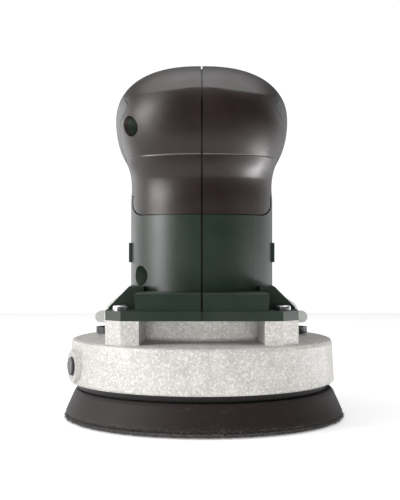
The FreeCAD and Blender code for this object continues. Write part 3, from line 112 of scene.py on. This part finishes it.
class Look:
    """One material and the few ways its nodes are added."""

    def __init__(self, name):
        self.material = bpy.data.materials.new(name)
        self.material.use_nodes = True
        self.tree = self.material.node_tree
        self.shader = self.tree.nodes["Principled BSDF"]
        coords = self.tree.nodes.new("ShaderNodeTexCoord")
        self.place = Sock(self.tree, coords.outputs["Object"])

    def node(self, kind, settings=None, output=0, **inputs):
        node = self.tree.nodes.new(kind)
        for key, value in (settings or {}).items():
            setattr(node, key, value)
        for key, value in inputs.items():
            wrap(self.tree, value).feed(node.inputs[key.replace("_", " ")])
        return Sock(self.tree, node.outputs[output])

    def noise(self, size, detail=2.0, roughness=0.5, stretch=None):
        place = self.place
        if stretch:
            place = self.node("ShaderNodeMapping", Vector=place, Scale=stretch)
        return self.node(
            "ShaderNodeTexNoise", Vector=place, Scale=1 / size, Detail=detail, Roughness=roughness
        )

    def cells(self, size, output=0):
        return self.node(
            "ShaderNodeTexVoronoi", output=output, Vector=self.place, Scale=1 / size, Randomness=1.0
        )

    def axis(self, which):
        return self.node("ShaderNodeSeparateXYZ", output="XYZ".index(which), Vector=self.place)

    def mix(self, factor, a, b):
        node = self.tree.nodes.new("ShaderNodeMix")
        node.data_type = "RGBA"
        wrap(self.tree, factor).feed(node.inputs[0])
        for socket, colour in ((node.inputs[6], a), (node.inputs[7], b)):
            if isinstance(colour, Sock):
                colour.feed(socket)
            else:
                socket.default_value = (*colour, 1.0)
        return Sock(self.tree, node.outputs[2])

    def set(self, **values):
        for key, value in values.items():
            if isinstance(value, tuple):
                value = (*value, 1.0)
            wrap(self.tree, value).feed(self.shader.inputs[key.replace("_", " ")])

    def bump(self, height, distance, strength):
        node = self.tree.nodes.new("ShaderNodeBump")
        node.inputs["Strength"].default_value = strength
        node.inputs["Distance"].default_value = distance
        height.feed(node.inputs["Height"])
        self.tree.links.new(node.outputs["Normal"], self.shader.inputs["Normal"])
        return self


def wear(look, size):
    """A broad, faint unevenness in 0..1 for handling marks."""
    return look.noise(size, 3.0, 0.6).step(0.35, 0.7)


def band(value, inner, outer):
    """1 where the value is within inner of zero, fading to 0 at outer."""
    return 1.0 - value.math("ABSOLUTE").step(inner, outer)


def make_grip():
    look = Look("soft_grip")
    grain = look.cells(0.42 * MM)
    haze = wear(look, 22 * MM)
    colour = look.mix(haze, (0.016, 0.0095, 0.0085), (0.021, 0.013, 0.012))
    # painted highlight: a pale line along the crease under the lip, on the front only, standing in for
    # the catch-light on the crease's edge
    painted_highlight_band = band(look.axis("Z") - CREASE_Z * MM, 0.12 * MM, 0.42 * MM)
    in_front = 1.0 - look.axis("Y").step(-40 * MM, -24 * MM)
    edge = painted_highlight_band * band(look.axis("X"), 27 * MM, 35 * MM) * in_front
    # the base colour carries the painted highlight line along the crease
    look.set(
        Base_Color=look.mix(edge * 0.6, colour, (0.20, 0.18, 0.17)),
        Roughness=0.37 + 0.08 * haze + 0.05 * grain,
    )
    look.shader.inputs["Specular IOR Level"].default_value = 0.42
    return look.bump(grain + 0.5 * look.noise(0.25 * MM), 0.035 * MM, 0.5).material


def make_green():
    look = Look("green_shell")
    grain = look.noise(0.5 * MM, 4.0, 0.65)
    haze = wear(look, 26 * MM)
    seam = band(look.axis("X"), 0.35 * MM, 0.6 * MM) * 0.95
    green = look.mix(haze, (0.010, 0.019, 0.013), (0.014, 0.024, 0.017))
    look.set(
        Base_Color=look.mix(seam, green, (0.001, 0.001, 0.001)),
        Roughness=0.36 + 0.10 * grain + 0.06 * haze,
    )
    return look.bump(grain, 0.05 * MM, 0.55).material


def make_alloy():
    look = Look("cast_alloy")
    grit = look.cells(0.55 * MM)
    fine = look.noise(0.35 * MM, 3.0, 0.7)
    spark = look.cells(0.7 * MM, output=1)
    glint = look.node("ShaderNodeSeparateColor", Color=spark)
    pits = 1.0 - look.noise(1.6 * MM, 2.0, 0.5).step(0.68, 0.76) * 0.35
    tone = look.noise(9 * MM, 3.0, 0.6).step(0.2, 0.8)
    colour = look.mix(tone, (0.43, 0.415, 0.393), (0.54, 0.523, 0.498))
    colour = look.mix(glint.step(0.6, 1.0) * 0.5, colour, (0.78, 0.77, 0.75))
    colour = look.mix((1.0 - glint).step(0.55, 0.95) * 0.28, colour, (0.24, 0.23, 0.22))
    colour = look.mix(1.0 - pits, colour, (0.30, 0.29, 0.28))
    look.set(Base_Color=colour, Metallic=0.12, Roughness=0.50 + 0.16 * fine)
    return look.bump(grit + fine, 0.10 * MM, 0.75).material


def make_pad():
    look = Look("pad_foam")
    z = look.axis("Z")
    skin = look.noise(0.7 * MM, 4.0, 0.6)
    scuff = look.noise(5 * MM, 5.0, 0.72, stretch=(1.0, 1.0, 2.2)).step(0.54, 0.72)
    dust = (1.0 - z.step(1.5 * MM, 6.0 * MM)) * look.noise(1.2 * MM, 3.0, 0.7).step(0.45, 0.75)
    colour = look.mix(scuff * 0.30, (0.014, 0.010, 0.009), (0.060, 0.050, 0.047))
    look.set(
        Base_Color=look.mix(dust * 0.35, colour, (0.21, 0.20, 0.19)),
        Roughness=0.56 + 0.16 * skin + 0.14 * scuff,
    )
    look.shader.inputs["Specular IOR Level"].default_value = 0.22
    return look.bump(skin + 0.6 * scuff, 0.12 * MM, 0.5).material


def make_pile():
    look = Look("hook_pile")
    tone = look.noise(0.8 * MM, 2.0, 0.6).step(0.3, 0.75)
    look.set(Base_Color=look.mix(tone, (0.022, 0.020, 0.019), (0.17, 0.16, 0.155)), Roughness=0.7)
    return look.bump(look.cells(0.6 * MM), 0.2 * MM, 0.6).material


def make_rubber():
    look = Look("black_rubber")
    grain = look.noise(0.6 * MM, 3.0)
    colour = look.mix(grain, (0.010, 0.010, 0.010), (0.022, 0.021, 0.020))
    look.set(Base_Color=colour, Roughness=0.5 + 0.2 * grain)
    return look.bump(grain, 0.05 * MM, 0.5).material


def make_plastic(name, low, high, roughness, size=0.45, depth=0.04):
    look = Look(name)
    grain = look.noise(size * MM, 4.0, 0.6)
    haze = wear(look, 18 * MM)
    look.set(Base_Color=look.mix(haze, low, high), Roughness=roughness + 0.10 * grain + 0.05 * haze)
    return look.bump(grain, depth * MM, 0.5).material


def make_steel(name, low, high, roughness, size=0.8):
    look = Look(name)
    brushed = look.noise(size * MM, 3.0, 0.6, stretch=(1.0, 1.0, 6.0))
    stain = look.noise(4 * MM, 4.0, 0.65).step(0.45, 0.8)
    gloss = roughness + 0.12 * brushed + 0.08 * stain
    look.set(Base_Color=look.mix(stain, high, low), Metallic=1.0, Roughness=gloss)
    return look.bump(brushed, 0.02 * MM, 0.4).material


def layers(look, scale, distortion):
    """Level stripes, for wound wire and stacked sheets."""
    stripes = {"bands_direction": "Z"}
    return look.node("ShaderNodeTexWave", stripes, Vector=look.place, Scale=scale, Distortion=distortion)


def make_copper():
    look = Look("copper")
    turns = layers(look, 420.0, 1.5)
    colour = look.mix(turns, (0.22, 0.07, 0.02), (0.75, 0.33, 0.13))
    look.set(Base_Color=colour, Metallic=0.8, Roughness=0.28)
    return look.bump(turns, 0.2 * MM, 0.8).material


def make_laminations():
    look = Look("lamination_steel")
    sheets = layers(look, 620.0, 0.1)
    colour = look.mix(sheets, (0.10, 0.10, 0.105), (0.36, 0.36, 0.37))
    look.set(Base_Color=colour, Metallic=0.9, Roughness=0.42)
    return look.bump(sheets, 0.1 * MM, 0.6).material


def make_cloth():
    look = Look("bag_cloth")
    x, y, z = look.axis("X"), look.axis("Y"), look.axis("Z")
    weave = ((x + z * 0.4) * 6200.0).math("SINE") * ((y + z) * 6200.0).math("SINE")
    fibre = look.noise(0.9 * MM, 5.0, 0.7, stretch=(1.0, 3.0, 1.0))
    dust = look.noise(14 * MM, 4.0, 0.6).step(0.45, 0.8)
    colour = look.mix(fibre, (0.56, 0.56, 0.53), (0.72, 0.72, 0.69))
    look.set(Base_Color=look.mix(dust * 0.25, colour, (0.50, 0.47, 0.41)), Roughness=0.85)
    look.shader.inputs["Sheen Weight"].default_value = 0.25
    return look.bump(weave * 0.5 + fibre, 0.12 * MM, 0.6).material


materials = {
    "soft_grip": make_grip(),
    "green_shell": make_green(),
    "cast_alloy": make_alloy(),
    "pad_foam": make_pad(),
    "hook_pile": make_pile(),
    "carrier_plastic": make_plastic("carrier_plastic", (0.03, 0.03, 0.032), (0.05, 0.05, 0.052), 0.45),
    "bright_steel": make_steel("bright_steel", (0.42, 0.41, 0.40), (0.72, 0.72, 0.72), 0.2),
    "bearing_steel": make_steel("bearing_steel", (0.55, 0.55, 0.56), (0.80, 0.80, 0.81), 0.12, 0.4),
    "zinc_cast": make_steel("zinc_cast", (0.28, 0.28, 0.29), (0.46, 0.46, 0.47), 0.45, 1.2),
    "black_rubber": make_rubber(),
    "black_plastic": make_plastic("black_plastic", (0.016, 0.016, 0.017), (0.030, 0.030, 0.032), 0.38),
    "fan_plastic": make_plastic("fan_plastic", (0.030, 0.030, 0.032), (0.055, 0.054, 0.052), 0.45),
    "lamination_steel": make_laminations(),
    "copper": make_copper(),
    "brass": make_steel("brass", (0.52, 0.36, 0.14), (0.78, 0.60, 0.28), 0.25),
    "carbon": make_plastic("carbon", (0.030, 0.030, 0.031), (0.055, 0.055, 0.056), 0.5, 0.3, 0.08),
    "pale_plastic": make_plastic("pale_plastic", (0.46, 0.47, 0.45), (0.56, 0.57, 0.55), 0.42),
    "bag_cloth": make_cloth(),
    "lock_plastic": make_plastic("lock_plastic", (0.018, 0.018, 0.019), (0.030, 0.030, 0.031), 0.3),
}


def dress(obj, slot_name):
    obj.data.materials.clear()
    obj.data.materials.append(materials[slot_name])


def smooth(mesh, degrees):
    mesh.polygons.foreach_set("use_smooth", [True] * len(mesh.polygons))
    mesh.set_sharp_from_angle(angle=math.radians(degrees))


slots = {row["node"]: row["material_slot"] for row in frame["record"]["subparts"]}
for name, obj in nodes.items():
    dress(obj, slots[name])
    smooth(obj.data, 32)


# ---------------------------------------------------------------- smooth forms through sections
MOTOR_RADIUS = 38.7
TURN_Y, TURN_Z = 52.0, 116.0
LEVELS = [54.2, 65.0, 76.0, 88.0, 100.0, 110.0]
# angle about the turning line, inner and outer reach, half width, roundness, skew
TURNS = [
    (0.0, 13.3, 90.7, 38.7, 2.0, 0.0),
    (6.0, 13.4, 90.6, 38.3, 2.05, 0.0),
    (11.0, 13.6, 94.2, 38.3, 2.1, 0.02),
    (15.5, 13.9, 103.4, 39.0, 2.15, 0.07),
    (20.5, 14.2, 110.9, 41.2, 2.25, 0.09),
    (25.5, 14.6, 114.4, 43.8, 2.3, 0.08),
    (30.0, 15.0, 113.4, 45.4, 2.35, 0.06),
    (36.0, 15.6, 108.9, 46.6, 2.4, 0.04),
    (43.0, 16.4, 102.3, 47.4, 2.4, 0.02),
    (51.0, 17.3, 94.3, 47.5, 2.4, 0.0),
    (61.0, 18.6, 84.9, 46.6, 2.4, 0.0),
    (74.0, 20.4, 75.8, 43.6, 2.35, 0.0),
    (90.0, 22.5, 69.3, 38.6, 2.3, 0.0),
]
# distance back, low and high edge, half width
HANDLE = [
    (66.0, 140.6, 182.4, 33.0),
    (84.0, 140.6, 179.2, 27.4),
    (104.0, 138.8, 176.6, 24.2),
    (126.0, 136.4, 174.6, 23.4),
    (144.0, 134.8, 173.4, 23.6),
]


def ring(origin, way, inner, outer, width, roundness, skew, count):
    turn = np.linspace(0, 2 * np.pi, count, endpoint=False)
    power = 2.0 / roundness
    along = np.sign(np.cos(turn)) * np.abs(np.cos(turn)) ** power
    across = np.sign(np.sin(turn)) * np.abs(np.sin(turn)) ** power
    reach = (inner + outer) / 2 + (outer - inner) / 2 * along
    x = width * (1 + skew * along) * across
    return np.stack([x, origin[0] + reach * way[0], origin[1] + reach * way[1]], axis=1)


def spline_rows(rows, count, fine=None):
    """Rows of points along a smooth spline through the given rows, with more in the fine stretch."""
    rows = np.array(rows)
    gaps = np.linalg.norm(rows[1:] - rows[:-1], axis=2).max(axis=1)
    at = np.concatenate([[0], np.cumsum(gaps)])
    n, h = len(at), np.diff(at)
    system, right = np.zeros((n, n)), np.zeros((n,) + rows.shape[1:])
    system[0, 0] = system[-1, -1] = 1
    for i in range(1, n - 1):
        system[i, i - 1 : i + 2] = h[i - 1], 2 * (h[i - 1] + h[i]), h[i]
        right[i] = 6 * ((rows[i + 1] - rows[i]) / h[i] - (rows[i] - rows[i - 1]) / h[i - 1])
    bend = np.linalg.solve(system, right.reshape(n, -1)).reshape(right.shape)
    made = []
    spots = np.linspace(0, at[-1], count)
    if fine:
        spots = np.concatenate([spots, np.linspace(*fine)])
    for t in np.sort(spots):
        i = min(int(np.searchsorted(at, t, side="right")) - 1, n - 2)
        a, b, w = at[i + 1] - t, t - at[i], h[i]
        row = bend[i] * a**3 / (6 * w) + bend[i + 1] * b**3 / (6 * w)
        row = row + (rows[i] / w - bend[i] * w / 6) * a + (rows[i + 1] / w - bend[i + 1] * w / 6) * b
        made.append(row)
    return np.array(made)


def body_rows(inset, around, along, fine=None):
    rows = []
    for z in LEVELS:
        low, high = TURN_Y - MOTOR_RADIUS + inset, TURN_Y + MOTOR_RADIUS - inset
        rows.append(ring((TURN_Y, z), (-1, 0), low, high, MOTOR_RADIUS - inset, 2.0, 0.0, around))
    for angle, inner, outer, width, roundness, skew in TURNS:
        way = (-math.cos(math.radians(angle)), math.sin(math.radians(angle)))
        reach = (inner + inset, outer - inset)
        rows.append(ring((TURN_Y, TURN_Z), way, *reach, width - inset, roundness, skew, around))
    for y, low, high, width in HANDLE:
        rows.append(ring((y, 0), (0, 1), low + inset, high - inset, width - inset, 2.3, 0.0, around))
    return spline_rows(rows, along, fine)


def outward_normals(grid):
    across = np.roll(grid, -1, axis=1) - np.roll(grid, 1, axis=1)
    along = np.gradient(grid, axis=0)
    normal = np.cross(across, along)
    normal = normal / np.maximum(np.linalg.norm(normal, axis=2, keepdims=True), 1e-9)
    inside_out = (normal * (grid - grid.mean(axis=1, keepdims=True))).sum() < 0
    return -normal if inside_out else normal


def linked(name, mesh):
    obj = bpy.data.objects.new(name, mesh)
    bpy.context.collection.objects.link(obj)
    return obj


def closed_mesh(name, points, faces):
    """A linked mesh whose faces all look outwards."""
    mesh = bpy.data.meshes.new(name)
    mesh.from_pydata(points, [], faces)
    build = bmesh.new()
    build.from_mesh(mesh)
    bmesh.ops.recalc_face_normals(build, faces=build.faces)
    build.to_mesh(mesh)
    build.free()
    return linked(name, mesh)


def grid_object(name, grid):
    """A closed mesh from rows of points, millimetres to metres."""
    long, round_ = grid.shape[:2]
    points = (grid.reshape(-1, 3) * MM).tolist()
    faces = []
    for i in range(long - 1):
        for j in range(round_):
            k = (j + 1) % round_
            faces.append((i * round_ + j, i * round_ + k, (i + 1) * round_ + k, (i + 1) * round_ + j))
    faces.append(tuple(reversed(range(round_))))
    faces.append(tuple((long - 1) * round_ + j for j in range(round_)))
    return closed_mesh(name, points, faces)


def prism(name, outline, low, high, axis):
    """A straight prism from a 2-D outline in millimetres, along X or Y."""
    n = len(outline)
    order = {"X": lambda a, b, c: (c, a, b), "Y": lambda a, b, c: (a, c, b)}[axis]
    points = [order(a * MM, b * MM, end * MM) for end in (low, high) for a, b in outline]
    faces = [tuple(range(n)), tuple(range(2 * n - 1, n - 1, -1))]
    faces += [(i, i + n, (i + 1) % n + n, (i + 1) % n) for i in range(n)]
    return closed_mesh(name, points, faces)


def boolean(obj, tool, operation):
    """Applies a boolean and throws the tool away."""
    modifier = obj.modifiers.new("cut", "BOOLEAN")
    modifier.object, modifier.operation, modifier.solver = tool, operation, "EXACT"
    bake(obj)
    bpy.data.objects.remove(tool)


def bake(obj):
    shown = obj.evaluated_get(bpy.context.evaluated_depsgraph_get())
    mesh = bpy.data.meshes.new_from_object(shown)
    obj.modifiers.clear()
    obj.data = mesh


def rounded(points, radius, grow=0.0):
    """A closed outline with rounded corners, first moved outwards by grow."""
    n = len(points)
    area = sum(points[i - 1][0] * points[i][1] - points[i][0] * points[i - 1][1] for i in range(n))
    side = 1.0 if area > 0 else -1.0
    moved = []
    for i in range(n):
        a, b, c = (Vector(points[(i + k) % n]) for k in (-1, 0, 1))
        into, out = (b - a).normalized(), (c - b).normalized()
        left = Vector((into.y, -into.x)) * side
        right = Vector((out.y, -out.x)) * side
        middle = (left + right).normalized()
        moved.append(b + middle * grow / max(0.2, middle.dot(left)))
    made = []
    for i in range(n):
        a, b, c = moved[i - 1], moved[i], moved[(i + 1) % n]
        to_a, to_c = (a - b).normalized(), (c - b).normalized()
        half = to_a.angle(to_c) / 2
        reach = min(radius / math.tan(half), 0.45 * (a - b).length, 0.45 * (c - b).length)
        start, end = b + to_a * reach, b + to_c * reach
        for k in range(9):
            t = k / 8
            made.append(tuple(start * (1 - t) ** 2 + b * 2 * t * (1 - t) + end * t**2))
    return made


# outline of the side panels that the grip leaves bare: distance back and height
BARE = [
    (-31.5, 165.2), (-17.0, 171.4), (20.0, 179.0), (58.0, 178.0), (64.0, 210.0),
    (190.0, 210.0), (190.0, 110.0), (132.0, 110.0), (126.0, 147.0), (66.0, 151.0),
    (34.0, 146.0), (4.0, 138.5), (-15.0, 138.5), (-21.5, 149.0), (-25.5, 157.0), (-31.5, 161.6),
]
BARE_CORNER, GROOVE = 3.0, 0.55
GRIP_LOW, GRIP_THICKNESS, SEAM_HALF_GAP = 118.2, 1.8, 0.4
TONGUE_LOW, TONGUE_HALF_WIDTH, TONGUE_CORNER = 107.7, 37.4, 6.0
POCKET_Y, POCKET_Z, POCKET_RADIUS = -35.5, 153.4, 5.3
CREASE_SPAN = (76.0, 98.0)  # where the crease lies along the form, which has extra rows there

# the lip over the neck: how far it stands out, and how far up and down it fades
LIP_OUT, LIP_FADE_UP, LIP_FADE_DOWN = 2.2, 9.0, 11.0
# the step under it: how far it stands out, its height and how far down it fades
STEP_OUT, STEP_HEIGHT, STEP_FADE = 0.9, 0.6, 5.0
# the brow: growth with height, fade above the ridge, half width and how far in it is full
BROW_GROWTH, BROW_FADE = 0.0125, 3.2
BROW_HALF_WIDTH, BROW_SIDE_FADE = 46.0, 16.0
# how far the ridge drops to the sides, and over what width
RIDGE_DROP, RIDGE_WIDTH = 2.2, 16.0
# how far a face leans to the front before it moves, and the span to where it moves in full
FACING_START, FACING_SPAN = 0.15, 0.45


def sculpt(grid):
    """Shapes the lip over the neck and the ridge of the brow by moving the front forward."""
    x, z = grid[..., 0], grid[..., 2]
    facing = np.clip((-outward_normals(grid)[..., 1] - FACING_START) / FACING_SPAN, 0, 1)
    above, below = np.clip(z - CREASE_Z, 0, None), np.clip(CREASE_Z - z, 0, None)
    lip = LIP_OUT * np.exp(-above / LIP_FADE_UP) * np.clip(1 - below / LIP_FADE_DOWN, 0, 1)
    lip += STEP_OUT * np.clip(below / STEP_HEIGHT, 0, 1) * np.exp(-below / STEP_FADE)
    ridge = RIDGE_Z - RIDGE_DROP * (1 - np.exp(-((x / RIDGE_WIDTH) ** 2)))
    rise = np.clip(np.minimum(z, ridge) - BROW_Z, 0, None)
    over = np.clip(z - ridge, 0, None)
    sides = np.clip((BROW_HALF_WIDTH - np.abs(x)) / BROW_SIDE_FADE, 0, 1)
    brow = BROW_GROWTH * rise**2 * np.exp(-over / BROW_FADE) * sides
    out = grid.copy()
    out[..., 1] -= (lip + brow) * facing
    return out


def make_grips():
    around, along = ((360, 460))
    outer = body_rows(0.0, around, along, (*CREASE_SPAN, along // 6))
    form = grid_object("grip_form", sculpt(outer))
    core = grid_object("grip_core", body_rows(GRIP_THICKNESS, around // 2, along // 2))
    edge, low = GRIP_LOW + GROOVE, TONGUE_LOW + GROOVE
    w, r = TONGUE_HALF_WIDTH - GROOVE, TONGUE_CORNER
    zone = [(-80, 230), (-80, edge), (-w, edge)]
    for k in range(9):
        turn = math.radians(180 + 90 * k / 8)
        zone.append((-w + r + r * math.cos(turn), low + r + r * math.sin(turn)))
    for k in range(9):
        turn = math.radians(270 + 90 * k / 8)
        zone.append((w - r + r * math.cos(turn), low + r + r * math.sin(turn)))
    zone += [(w, edge), (80, edge), (80, 230)]
    front = prism("zone", zone, -90, 0, "Y")
    rear = prism("zone_rear", [(-80, 230), (-80, edge), (80, edge), (80, 230)], -1, 200, "Y")
    boolean(front, rear, "UNION")
    boolean(form, front, "INTERSECT")
    boolean(form, prism("bare", rounded(BARE, BARE_CORNER, GROOVE), -90, 90, "X"), "DIFFERENCE")
    boolean(form, core, "DIFFERENCE")
    circle = []
    for k in range(48):
        turn = k / 24 * math.pi
        y = POCKET_Y + POCKET_RADIUS * math.cos(turn)
        circle.append((y, POCKET_Z + POCKET_RADIUS * math.sin(turn)))
    boolean(form, prism("pocket", circle, -90, -5, "X"), "DIFFERENCE")
    for name, side in (("grip_left", -1), ("grip_right", 1)):
        half = linked(name + "_skin", form.data.copy())
        build = bmesh.new()
        build.from_mesh(half.data)
        bmesh.ops.bisect_plane(
            build,
            geom=build.verts[:] + build.edges[:] + build.faces[:],
            plane_co=(side * SEAM_HALF_GAP * MM, 0, 0),
            plane_no=(-side, 0, 0),
            clear_outer=True,
        )
        rim = [e for e in build.edges if e.is_boundary]
        bmesh.ops.holes_fill(build, edges=rim)
        build.to_mesh(half.data)
        build.free()
        dress(half, "soft_grip")
        smooth(half.data, 16)
        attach(half, "body")
        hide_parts(name)
    bpy.data.objects.remove(form)


# ---------------------------------------------------------------- hook pile at the pad's edge
def make_fringe():
    low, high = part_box("sanding_pad")
    centre = (Vector(low) + Vector(high)) / 2
    radius = (high[0] - low[0]) / 2
    points, faces = [], []
    count = 5200
    for i in range(count):
        turn = 2 * math.pi * (i + random.random()) / count
        root = radius - random.uniform(0.4, 2.2) * MM
        height = random.uniform(0.5, 2.2) * MM
        length = random.uniform(0.8, 2.5) * MM
        lean = random.uniform(-0.9, 0.9)
        fall = random.uniform(-0.9, 0.1)
        wide = random.uniform(0.09, 0.17) * MM
        out = Vector((math.cos(turn), math.sin(turn), 0))
        along = Vector((-out.y, out.x, 0))
        way = (out + along * lean * 0.6 + Vector((0, 0, fall))).normalized()
        a = Vector((centre.x, centre.y, 0)) + out * root + Vector((0, 0, height))
        b = a + way * length * 0.6
        c = b + (way + Vector((0, 0, -0.5)) + along * lean * 0.4).normalized() * length * 0.4
        for p in (b, c):
            p.z = max(p.z, 0.05 * MM)
        side = way.cross(Vector((0, 0, 1))).normalized() * wide
        up = way.cross(side).normalized() * wide
        base = len(points)
        for p, k in ((a, 1.0), (b, 0.9), (c, 0.45)):
            points += [p + side * k, p + up * k, p - side * k]
        for k in (0, 3):
            for j in range(3):
                n = (j + 1) % 3
                faces.append((base + k + j, base + k + n, base + k + 3 + n, base + k + 3 + j))
        faces.append((base + 6, base + 7, base + 8))
    mesh = bpy.data.meshes.new("hook_fringe")
    mesh.from_pydata([tuple(p) for p in points], [], faces)
    fringe = linked("hook_fringe", mesh)
    dress(fringe, "hook_pile")
    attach(fringe, "pad")


# ---------------------------------------------------------------- cloth bag
# distance back, half width, half depth and middle height of the bag's sections
BAG = [
    (110.0, 21.0, 19.0, 37.0), (114.0, 33.0, 22.6, 38.2), (122.0, 50.0, 24.6, 40.0),
    (132.0, 62.5, 25.0, 41.6), (142.0, 67.2, 24.2, 42.4), (150.0, 67.6, 20.6, 42.4),
    (157.0, 66.6, 12.0, 42.4), (161.0, 65.4, 5.0, 42.4), (163.0, 65.0, 3.0, 42.4),
]


def make_bag():
    around, along = ((420, 200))
    rows = [ring((y, 0), (0, 1), m - h, m + h, w, 2.6, 0.0, around) for y, w, h, m in BAG]
    grid = spline_rows(rows, along)
    out = outward_normals(grid)
    for i in range(along):
        ends = min(1.0, i / along * 6, (along - 1 - i) / along * 6)
        for j in range(around):
            x, y, z = grid[i, j]
            fold = noise.noise(Vector((x * 0.075, y * 0.028, z * 0.05)))
            gather = math.sin(x * 0.55 + 2.0 * noise.noise(Vector((x * 0.05, 3.0, z * 0.08))))
            near_end = max(0.0, 1 - abs(y - 161) / 16) + max(0.0, 1 - abs(y - 112) / 12)
            fine = noise.noise(Vector((x, y, z)) * 0.2)
            push = 1.5 * fold + 0.45 * gather * near_end + 0.25 * fine
            grid[i, j] += out[i, j] * min(push - 0.6, 1.2) * ends
    bag = grid_object("dust_bag_cloth", grid)
    dress(bag, "bag_cloth")
    smooth(bag.data, 50)
    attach(bag, "body")
    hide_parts("dust_bag")


make_grips()
make_fringe()
make_bag()


# ---------------------------------------------------------------- studio
def area_light(name, place, target, size, power, use):
    lamp = bpy.data.lights.new(name, "AREA")
    lamp.shape, lamp.size, lamp.size_y = "RECTANGLE", size[0], size[1]
    lamp.energy = power
    obj = bpy.data.objects.new(name, lamp)
    obj.location = place
    obj.rotation_euler = (Vector(target) - Vector(place)).to_track_quat("-Z", "Y").to_euler()
    obj.visible_camera = False
    obj.visible_diffuse = use != "shine"
    obj.visible_glossy = use != "fill"
    bpy.context.collection.objects.link(obj)


def studio():
    scene = bpy.context.scene
    scene.view_settings.view_transform = "Standard"
    world = bpy.data.worlds.new("studio")
    scene.world = world
    world.use_nodes = True
    tree = world.node_tree
    path = tree.nodes.new("ShaderNodeLightPath")
    level = tree.nodes.new("ShaderNodeMapRange")
    level.inputs["To Min"].default_value = 0.10
    level.inputs["To Max"].default_value = 1.05
    tree.links.new(path.outputs["Is Camera Ray"], level.inputs["Value"])
    tree.links.new(level.outputs["Result"], tree.nodes["Background"].inputs[1])
    tree.nodes["Background"].inputs[0].default_value = (1, 1, 1, 1)
    mesh = bpy.data.meshes.new("floor")
    corners = [(-0.9, -0.27, 0), (0.9, -0.27, 0), (0.9, 0.9, 0), (-0.9, 0.9, 0)]
    mesh.from_pydata(corners, [], [(0, 1, 2, 3)])
    floor = linked("floor", mesh)
    floor.location.z = -0.0004
    look = Look("floor")
    look.set(Base_Color=(0.95, 0.95, 0.95), Roughness=0.9)
    look.set(Emission_Color=(1.0, 1.0, 1.0), Emission_Strength=0.3)
    look.shader.inputs["Specular IOR Level"].default_value = 0.1
    mesh.materials.append(look.material)
    for lamp in LAMPS:
        area_light(*lamp)


# name, place, target, size, power and use: a shine lamp shows in reflections only, a fill lamp
# never does
LAMPS = [
    ("key", (-0.78, -0.20, 0.56), (0, 0, 0.15), (0.6, 0.7), 4.6, "both"),
    ("rim", (0.85, 0.28, 0.32), (0, 0, 0.10), (0.35, 0.8), 0.4, "both"),
    ("top", (0.0, 0.25, 1.3), (0, 0, 0.0), (1.8, 1.4), 17.0, "both"),
    ("front", (0.0, -0.75, 0.05), (0, 0, 0.05), (0.5, 0.16), 4.4, "fill"),
    ("left_strip", (-0.60, -0.20, 0.24), (0, 0, 0.16), (0.26, 0.40), 4.4, "shine"),
    ("right_low", (0.22, 0.02, 0.004), (0.22, 0.02, 1.0), (0.12, 0.14), 1.1, "shine"),
    ("left_edge", (-0.46, 0.44, 0.16), (0, 0, 0.13), (0.45, 0.5), 1.8, "shine"),
    ("right_edge", (0.46, 0.44, 0.16), (0, 0, 0.13), (0.45, 0.5), 0.7, "shine"),
]


def camera():
    data = bpy.data.cameras.new("camera")
    data.lens, data.sensor_width = 73.6, 36.0
    data.clip_start = 0.01
    obj = bpy.data.objects.new("camera", data)
    obj.location = (-0.00093, -0.562, 0.0896)
    obj.rotation_euler = (math.radians(90), 0, 0)
    bpy.context.collection.objects.link(obj)
    bpy.context.scene.camera = obj


studio()
camera()
